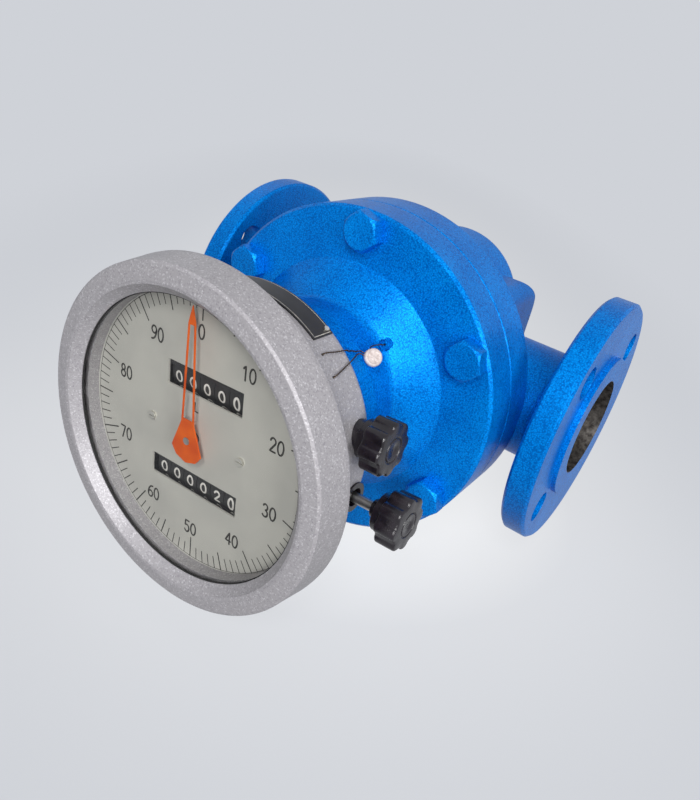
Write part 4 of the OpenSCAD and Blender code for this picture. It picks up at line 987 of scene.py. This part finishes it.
@dataclass
class Knob:
    """A moulded reset knob with eight lobes on its steel shaft.

    out is how far it stands pulled out at rest. Places along it are measured from the case's axis
    with the knob pushed in. A groove round a low boss marks its face, with a dimple from the mould.
    """

    row: Row
    y: float
    out: float
    s: float = 149.5
    seat_x: float = 61.8
    step_x: float = 65.45
    head_x: float = 69.45
    front_x: float = 79.95
    radius: float = 13.0
    valley: float = 11.4
    lobe: float = 3.4
    lobes: int = 8
    blend: float = 0.08
    inset: float = 0.06
    edge: float = 1.1
    edge_parts: int = 4
    face: tuple[Flat, ...] = ((0, 6.35), (0.15, 6.2), (0.5, 6.1), (0.5, 5.5), (0.15, 5.4), (0, 5.25),
                              (0, 2.2), (0.25, 1.9), (0.3, 0.2))
    neck: float = 4.2
    hub: float = 9.0
    broken: float = 0.3
    shaft: float = 2.5
    dog: float = 3.4
    dog_x: Flat = (32.6, 36.6)
    steps: int = 192

    def outline(self, angle: float) -> float:
        """Return the head's radius at an angle, with the corners between lobes softened.

        Args:
            angle: Angle round the knob in radians.

        Returns:
            The radius in millimetres.
        """
        step = 2 * math.pi / self.lobes
        off = (angle + step / 2) % step - step / 2
        centre = self.radius - self.lobe
        across = centre * math.sin(off)
        lobed = centre * math.cos(off) + math.sqrt(max(self.lobe ** 2 - across ** 2, 0.0))
        gap = lobed - self.valley
        return self.valley + (gap + math.sqrt(gap * gap + self.blend)) / 2 - self.inset

    def ring_at(self, x: float, size: Callable[[float], float]) -> list[Vector]:
        """Return a ring of points round the knob's axis.

        Args:
            x: Place along the knob.
            size: Radius at an angle.

        Returns:
            The points in the frame's axes.
        """
        angles = [2 * math.pi * i / self.steps for i in range(self.steps)]
        return [HEAD.at(x + self.out, self.y + size(a) * math.cos(a), self.s + size(a) * math.sin(a))
                for a in angles]

    def turned(self, profile: Iterable[Flat]) -> list[list[Vector]]:
        """Return the round rings of a profile.

        Args:
            profile: Places along the knob with their radii.

        Returns:
            One ring for each of them.
        """
        return [self.ring_at(x, lambda _, r=r: r) for x, r in profile]

    def head(self) -> list[list[Vector]]:
        """Shape the moulded part from its neck to the middle of its face.

        Returns:
            Its rings.
        """
        rings = self.turned((
            (self.seat_x, self.neck - self.broken), (self.seat_x + self.broken, self.neck),
            (self.step_x, self.neck), (self.step_x, self.hub - self.broken),
            (self.step_x + self.broken, self.hub), (self.head_x, self.hub)))
        angles = [math.pi / 2 * k / self.edge_parts for k in range(self.edge_parts + 1)]
        for start, way, order in ((self.head_x, 1, angles), (self.front_x, -1, angles[::-1])):
            for angle in order:
                drop = self.edge * (1 - math.sin(angle))
                rise = self.edge * (1 - math.cos(angle))
                rings.append(self.ring_at(start + way * rise, lambda a, d=drop: self.outline(a) - d))
        return rings + self.turned((self.front_x - depth, r) for depth, r in self.face)

    def build(self, finishes: Finishes) -> None:
        """Mould the knob and turn its shaft.

        Args:
            finishes: The meter's finishes.
        """
        node = f"{self.row.value}_knob"
        form = Form()
        form.loft(self.head())
        form.make(f"{node}_moulding", finishes.knob, node, (node,), 40.0)
        back, front = self.dog_x
        bar = Form()
        bar.loft(self.turned((
            (back, self.dog - self.broken), (back + self.broken, self.dog), (front - self.broken, self.dog),
            (front, self.dog - self.broken), (front, self.shaft), (self.seat_x + 0.5, self.shaft))))
        bar.make(f"{node}_shaft", finishes.steel, node, (), 30.0)


@dataclass
class WireSeal:
    """The twisted wire from the case to the drilled screw, with its crimped lead seal.

    The routes and the seal's middle are given by radius, place along the head and angle round it.
    """

    strand: float = 0.19
    sides: int = 7
    lay: float = 2.6
    step: float = 0.32
    disc_at: tuple[float, float, float] = (53.199, 111.5, 46.3)
    tilt: float = 30.0
    disc: float = 4.6
    thick: float = 3.0
    steps: int = 96
    # Height, distance inside the disc's edge, and depth of the jaws' marks
    pressed: tuple[tuple[float, float, float], ...] = (
        (0.05, 0.9, 0), (0.25, 0.35, 0), (0.9, 0.02, 0), (1.9, 0.02, 0), (2.6, 0.3, 0), (2.95, 0.9, 0),
        (2.9, 1.25, 0.02), (2.55, 1.5, 0.08), (2.45, 2.1, 0.14), (2.55, 3.0, 0.1), (2.7, 3.8, 0.03),
        (2.72, 4.5, 0))
    routes: dict[str, tuple[tuple[float, float, float], ...]] = field(default_factory=lambda: {
        "lower": ((61.5, 157.8, 38), (65.3, 157.8, 38), (66.3, 156, 38.3), (66.3, 151, 39.2),
                  (66.3, 144, 40.1), (63, 139, 40.1), (57, 128, 40), (51.8, 119.5, 40), (51.1, 115.5, 40.4),
                  (51.7, 114, 42.5), (52.6, 112.5, 44.5)),
        "upper": ((61.5, 158.2, 47.3), (65.3, 158.2, 47.3), (66.3, 156.5, 47), (66.3, 151, 45.9),
                  (66.3, 144, 44.4), (63, 139, 44), (57, 128, 42.6), (52, 120.5, 41.6), (51.1, 116.5, 41.8),
                  (51.4, 114.5, 43.8), (52, 113.5, 45.5)),
        "screw": ((53.7, 110.5, 44.8), (53.4, 110.3, 42), (52.2, 108, 40.7), (51, 101, 40.9),
                  (50.6, 97, 41.6), (50.3, 95, 42.2), (50.3, 89.2, 42.2))})

    @staticmethod
    def smooth(points: Sequence[Vector], step: float) -> list[Vector]:
        """Return a smooth curve through points.

        Args:
            points: Points that the curve passes through.
            step: Distance between the points returned, in metres.

        Returns:
            Points along the curve.
        """
        ends = [2 * points[0] - points[1], *points, 2 * points[-1] - points[-2]]
        result: list[Vector] = []
        for a, b, c, d in zip(ends, ends[1:], ends[2:], ends[3:]):
            parts = max(1, round((c - b).length / step))
            for k in range(parts):
                t = k / parts
                result.append(0.5 * ((2 * b) + (c - a) * t + (2 * a - 5 * b + 4 * c - d) * t * t
                                     + (3 * b - a - 3 * c + d) * t ** 3))
        return [*result, points[-1].copy()]

    def strands(self, form: Form, line: Sequence[Vector]) -> None:
        """Wind two strands round a line.

        Args:
            form: Form that gets the strands.
            line: Points of the line.
        """
        # Any direction that no wire starts along
        side = Vector((0.3, 0.2, 1.0))
        gone = 0.0
        radius = self.strand * MM
        rings: tuple[list[list[Vector]], list[list[Vector]]] = ([], [])
        for i, point in enumerate(line):
            ahead = (line[min(i + 1, len(line) - 1)] - line[max(i - 1, 0)]).normalized()
            side = (side - ahead * side.dot(ahead)).normalized()
            other = ahead.cross(side)
            gone += (point - line[i - 1]).length if i else 0.0
            for number, strand in enumerate(rings):
                turn = gone / (self.lay * MM) * math.pi * 2 + number * math.pi
                middle = point + (side * math.cos(turn) + other * math.sin(turn)) * radius
                strand.append([middle + (side * math.cos(a) + other * math.sin(a)) * radius
                               for a in (2 * math.pi * k / self.sides for k in range(self.sides))])
        for strand in rings:
            form.loft(strand)

    def build(self, finishes: Finishes) -> None:
        """Twist the wires and press the seal.

        Args:
            finishes: The meter's finishes.
        """
        for number, (name, route) in enumerate(self.routes.items()):
            form = Form()
            points = [UNTURNED.around(r, a, s) for r, s, a in route]
            self.strands(form, self.smooth(points, self.step * MM))
            form.make(f"seal_wire_{name}", finishes.wire, "meter",
                      ("seal_wire",) if number == 0 else (), 60.0)
        self.crimp(finishes)

    def crimp(self, finishes: Finishes) -> None:
        """Press the lead seal: a disc with swollen rim, a pressed face and the marks of the jaws.

        Args:
            finishes: The meter's finishes.
        """
        mid, s, angle = self.disc_at
        lean = math.radians(self.tilt)
        radial = (UNTURNED.around(1, angle, 0) - UNTURNED.around(0, angle, 0)).normalized()
        out = radial * math.cos(lean) + Vector((0, -1, 0)) * math.sin(lean)
        across = Vector((0, 1, 0)) * math.cos(lean) + radial * math.sin(lean)
        along = out.cross(across)
        base = UNTURNED.around(mid, angle, s) - out * (self.thick / 2 * MM)
        rings: list[list[Vector]] = []
        for height, inset, wave in self.pressed:
            ring = []
            for a in (2 * math.pi * i / self.steps for i in range(self.steps)):
                # The pliers leave the disc a little out of round, and flat at two sides
                r = (self.disc - inset) * (1 + 0.012 * math.sin(3 * a + 0.7) - 0.022 * abs(math.sin(a)) ** 6)
                lift = height + wave * math.cos(6 * a)
                ring.append(base + (across * math.cos(a) * r + along * math.sin(a) * r + out * lift) * MM)
            rings.append(ring)
        form = Form()
        form.loft(rings)
        form.make("lead_seal_pressing", finishes.lead, "meter", ("lead_seal",), 50.0)


@dataclass
class Head:
    """The silver case with its bezel, glass, glands and the black plate round its top."""

    plate_radius: float = 65.85
    plate_back: float = 145.0
    plate_front: float = 158.0
    half_angle: float = 35.5
    border: float = 0.9
    border_width: float = 0.35
    border_parts: int = 60
    fill: float = 0.03

    def build(self, finishes: Finishes) -> None:
        """Draw the filled border line on the plate.

        Args:
            finishes: The meter's finishes.
        """
        def place(u: float, v: float) -> Vector:
            """Return the place of a point on the plate, from its length and width."""
            return HEAD.around(self.plate_radius + self.fill, math.degrees(-u / self.plate_radius), v)

        reach = math.radians(self.half_angle) * self.plate_radius - self.border
        low, high = self.plate_back + self.border, self.plate_front - self.border
        along = [-reach + 2 * reach * i / self.border_parts for i in range(self.border_parts + 1)]
        corners = [(u, high) for u in along] + [(u, low) for u in reversed(along)]
        form = Form()
        form.stroke([*corners, corners[0]][::-1], self.border_width, place)
        form.make("nameplate_border", finishes.line, "meter", smooth=0)

    def dress(self, nodes: Nodes, finishes: Finishes) -> None:
        """Give the head its silver paint, its glass and its black fittings.

        Args:
            nodes: The frame's objects by name.
            finishes: The meter's finishes.
        """
        for names, finish in ((("counter_case", "bezel", "dial_ring"), finishes.silver),
                              (("glass",), finishes.glass), (("nameplate",), finishes.plate),
                              (("knob_glands",), finishes.knob)):
            paint(nodes, names, finish)


@dataclass
class Studio:
    """Pale paper, soft boxes and the camera, in metres.

    The camera's place and axes were fitted to the circles in the photograph.
    """

    floor_z: float = -0.0936
    floor_reach: float = 6.0
    floor_tiles: int = 8
    # Name, place, size and watts: the key and the one above it stand in front, a little to the right
    boxes: tuple[tuple[str, tuple[float, float, float], float, float], ...] = (
        ("key_box", (0.95, -1.48, 0.62), 0.5, 13.3), ("upper_box", (0.57, -1.23, 1.08), 0.35, 10.0),
        ("side_box", (1.50, -0.80, 0.60), 0.6, 12.0), ("rear_box", (-1.30, 0.60, 0.80), 0.8, 1.2))
    aim: tuple[float, float, float] = (0.125, -0.08, 0.0)
    air: str = "#F2F4F7"
    air_strength: float = 0.15
    lens: float = 31.66
    sensor: float = 36.0
    nearest: float = 0.01
    eye: tuple[float, float, float] = (0.3099, -0.3813, 0.1727)
    right: tuple[float, float, float] = (0.7975, 0.5714, 0.1939)
    down: tuple[float, float, float] = (0.4146, -0.2854, -0.8641)
    ahead: tuple[float, float, float] = (-0.4384, 0.7695, -0.4645)

    def build(self, finishes: Finishes) -> None:
        """Lay the paper, hang the lamps and set up the camera.

        Args:
            finishes: The meter's finishes.
        """
        self.floor(finishes.paper)
        for name, place, size, power in self.boxes:
            self.soft_box(name, place, size, power)
        self.sky()
        self.camera()

    def floor(self, paper: bpy.types.Material) -> None:
        """Lay the paper under the meter.

        Args:
            paper: Its material.
        """
        form = Form()
        rows = [self.floor_reach * (2 * i / self.floor_tiles - 1) for i in range(self.floor_tiles + 1)]
        for x0, x1 in zip(rows, rows[1:]):
            for y0, y1 in zip(rows, rows[1:]):
                form.patch(Vector((x, y, self.floor_z)) for x, y in ((x0, y0), (x1, y0), (x1, y1), (x0, y1)))
        mesh = bpy.data.meshes.new("studio_floor")
        mesh.from_pydata([tuple(p) for p in form.points], [], form.faces)
        mesh.materials.append(paper)
        floor = bpy.data.objects.new("studio_floor", mesh)
        bpy.context.scene.collection.objects.link(floor)

    def soft_box(self, name: str, place: tuple[float, float, float], size: float, power: float) -> None:
        """Hang a square white soft box that faces the meter.

        Args:
            name: Name of the lamp.
            place: Its place in metres.
            size: Length of its side in metres.
            power: Its power in watts.
        """
        lamp = bpy.data.lights.new(name, "AREA")
        lamp.shape = "RECTANGLE"
        lamp.size = lamp.size_y = size
        lamp.energy = power
        box = bpy.data.objects.new(name, lamp)
        box.location = place
        box.rotation_euler = (Vector(self.aim) - Vector(place)).to_track_quat("-Z", "Y").to_euler()
        bpy.context.scene.collection.objects.link(box)
        LOG.info("%s: %.1f W", name, power)

    def sky(self) -> None:
        """Fill the world with even light, shown in the paper's far colour."""
        world = bpy.data.worlds.new("studio_air")
        world.use_nodes = True
        tree = world.node_tree
        tree.nodes.clear()
        light = add(tree, "Background", inputs={"Color": linear(self.air), "Strength": self.air_strength})
        shown = add(tree, "Background", inputs={"Color": linear(StudioPaper.far), "Strength": 1.0})
        mix = add(tree, "MixShader", inputs={"Fac": seen_by(tree), 1: light.outputs[0], 2: shown.outputs[0]})
        add(tree, "OutputWorld", inputs={"Surface": mix.outputs[0]})
        bpy.context.scene.world = world

    def camera(self) -> None:
        """Stand the camera where the photograph was taken from."""
        data = bpy.data.cameras.new("camera")
        data.lens = self.lens
        data.sensor_width = self.sensor
        data.clip_start = self.nearest
        camera = bpy.data.objects.new("camera", data)
        axes = Matrix((self.right, -Vector(self.down), -Vector(self.ahead))).transposed()
        camera.matrix_world = Matrix.Translation(self.eye) @ axes.to_4x4()
        bpy.context.scene.collection.objects.link(camera)
        bpy.context.scene.camera = camera


def main() -> None:
    """Load the frame, dress it and add the finer pieces."""
    logging.basicConfig(level=logging.INFO, format="%(name)s %(message)s")
    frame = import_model()
    nodes = frame["nodes"]
    finishes = Finishes()
    Casting().dress(nodes, finishes)
    Movement().dress(nodes, finishes)
    upper_row = DrumRow(Row.UPPER, count=5, first_x=-13.2, y=26.2, sense=1, low=1.8)
    lower_row = DrumRow(Row.LOWER, count=6, first_x=-20.5, y=-24.4, sense=-1, low=0.9, rolled={5: 72.0})
    for piece in (Dial(), upper_row, lower_row, Head()):
        piece.build(finishes)
        piece.dress(nodes, finishes)
    for piece in (Shutters(), Knob(Row.UPPER, y=15.5, out=0.0), Knob(Row.LOWER, y=-15.5, out=14.0),
                  WireSeal(), Studio()):
        piece.build(finishes)
    bpy.context.scene.view_settings.view_transform = "Standard"


if __name__ == "__main__":
    main()
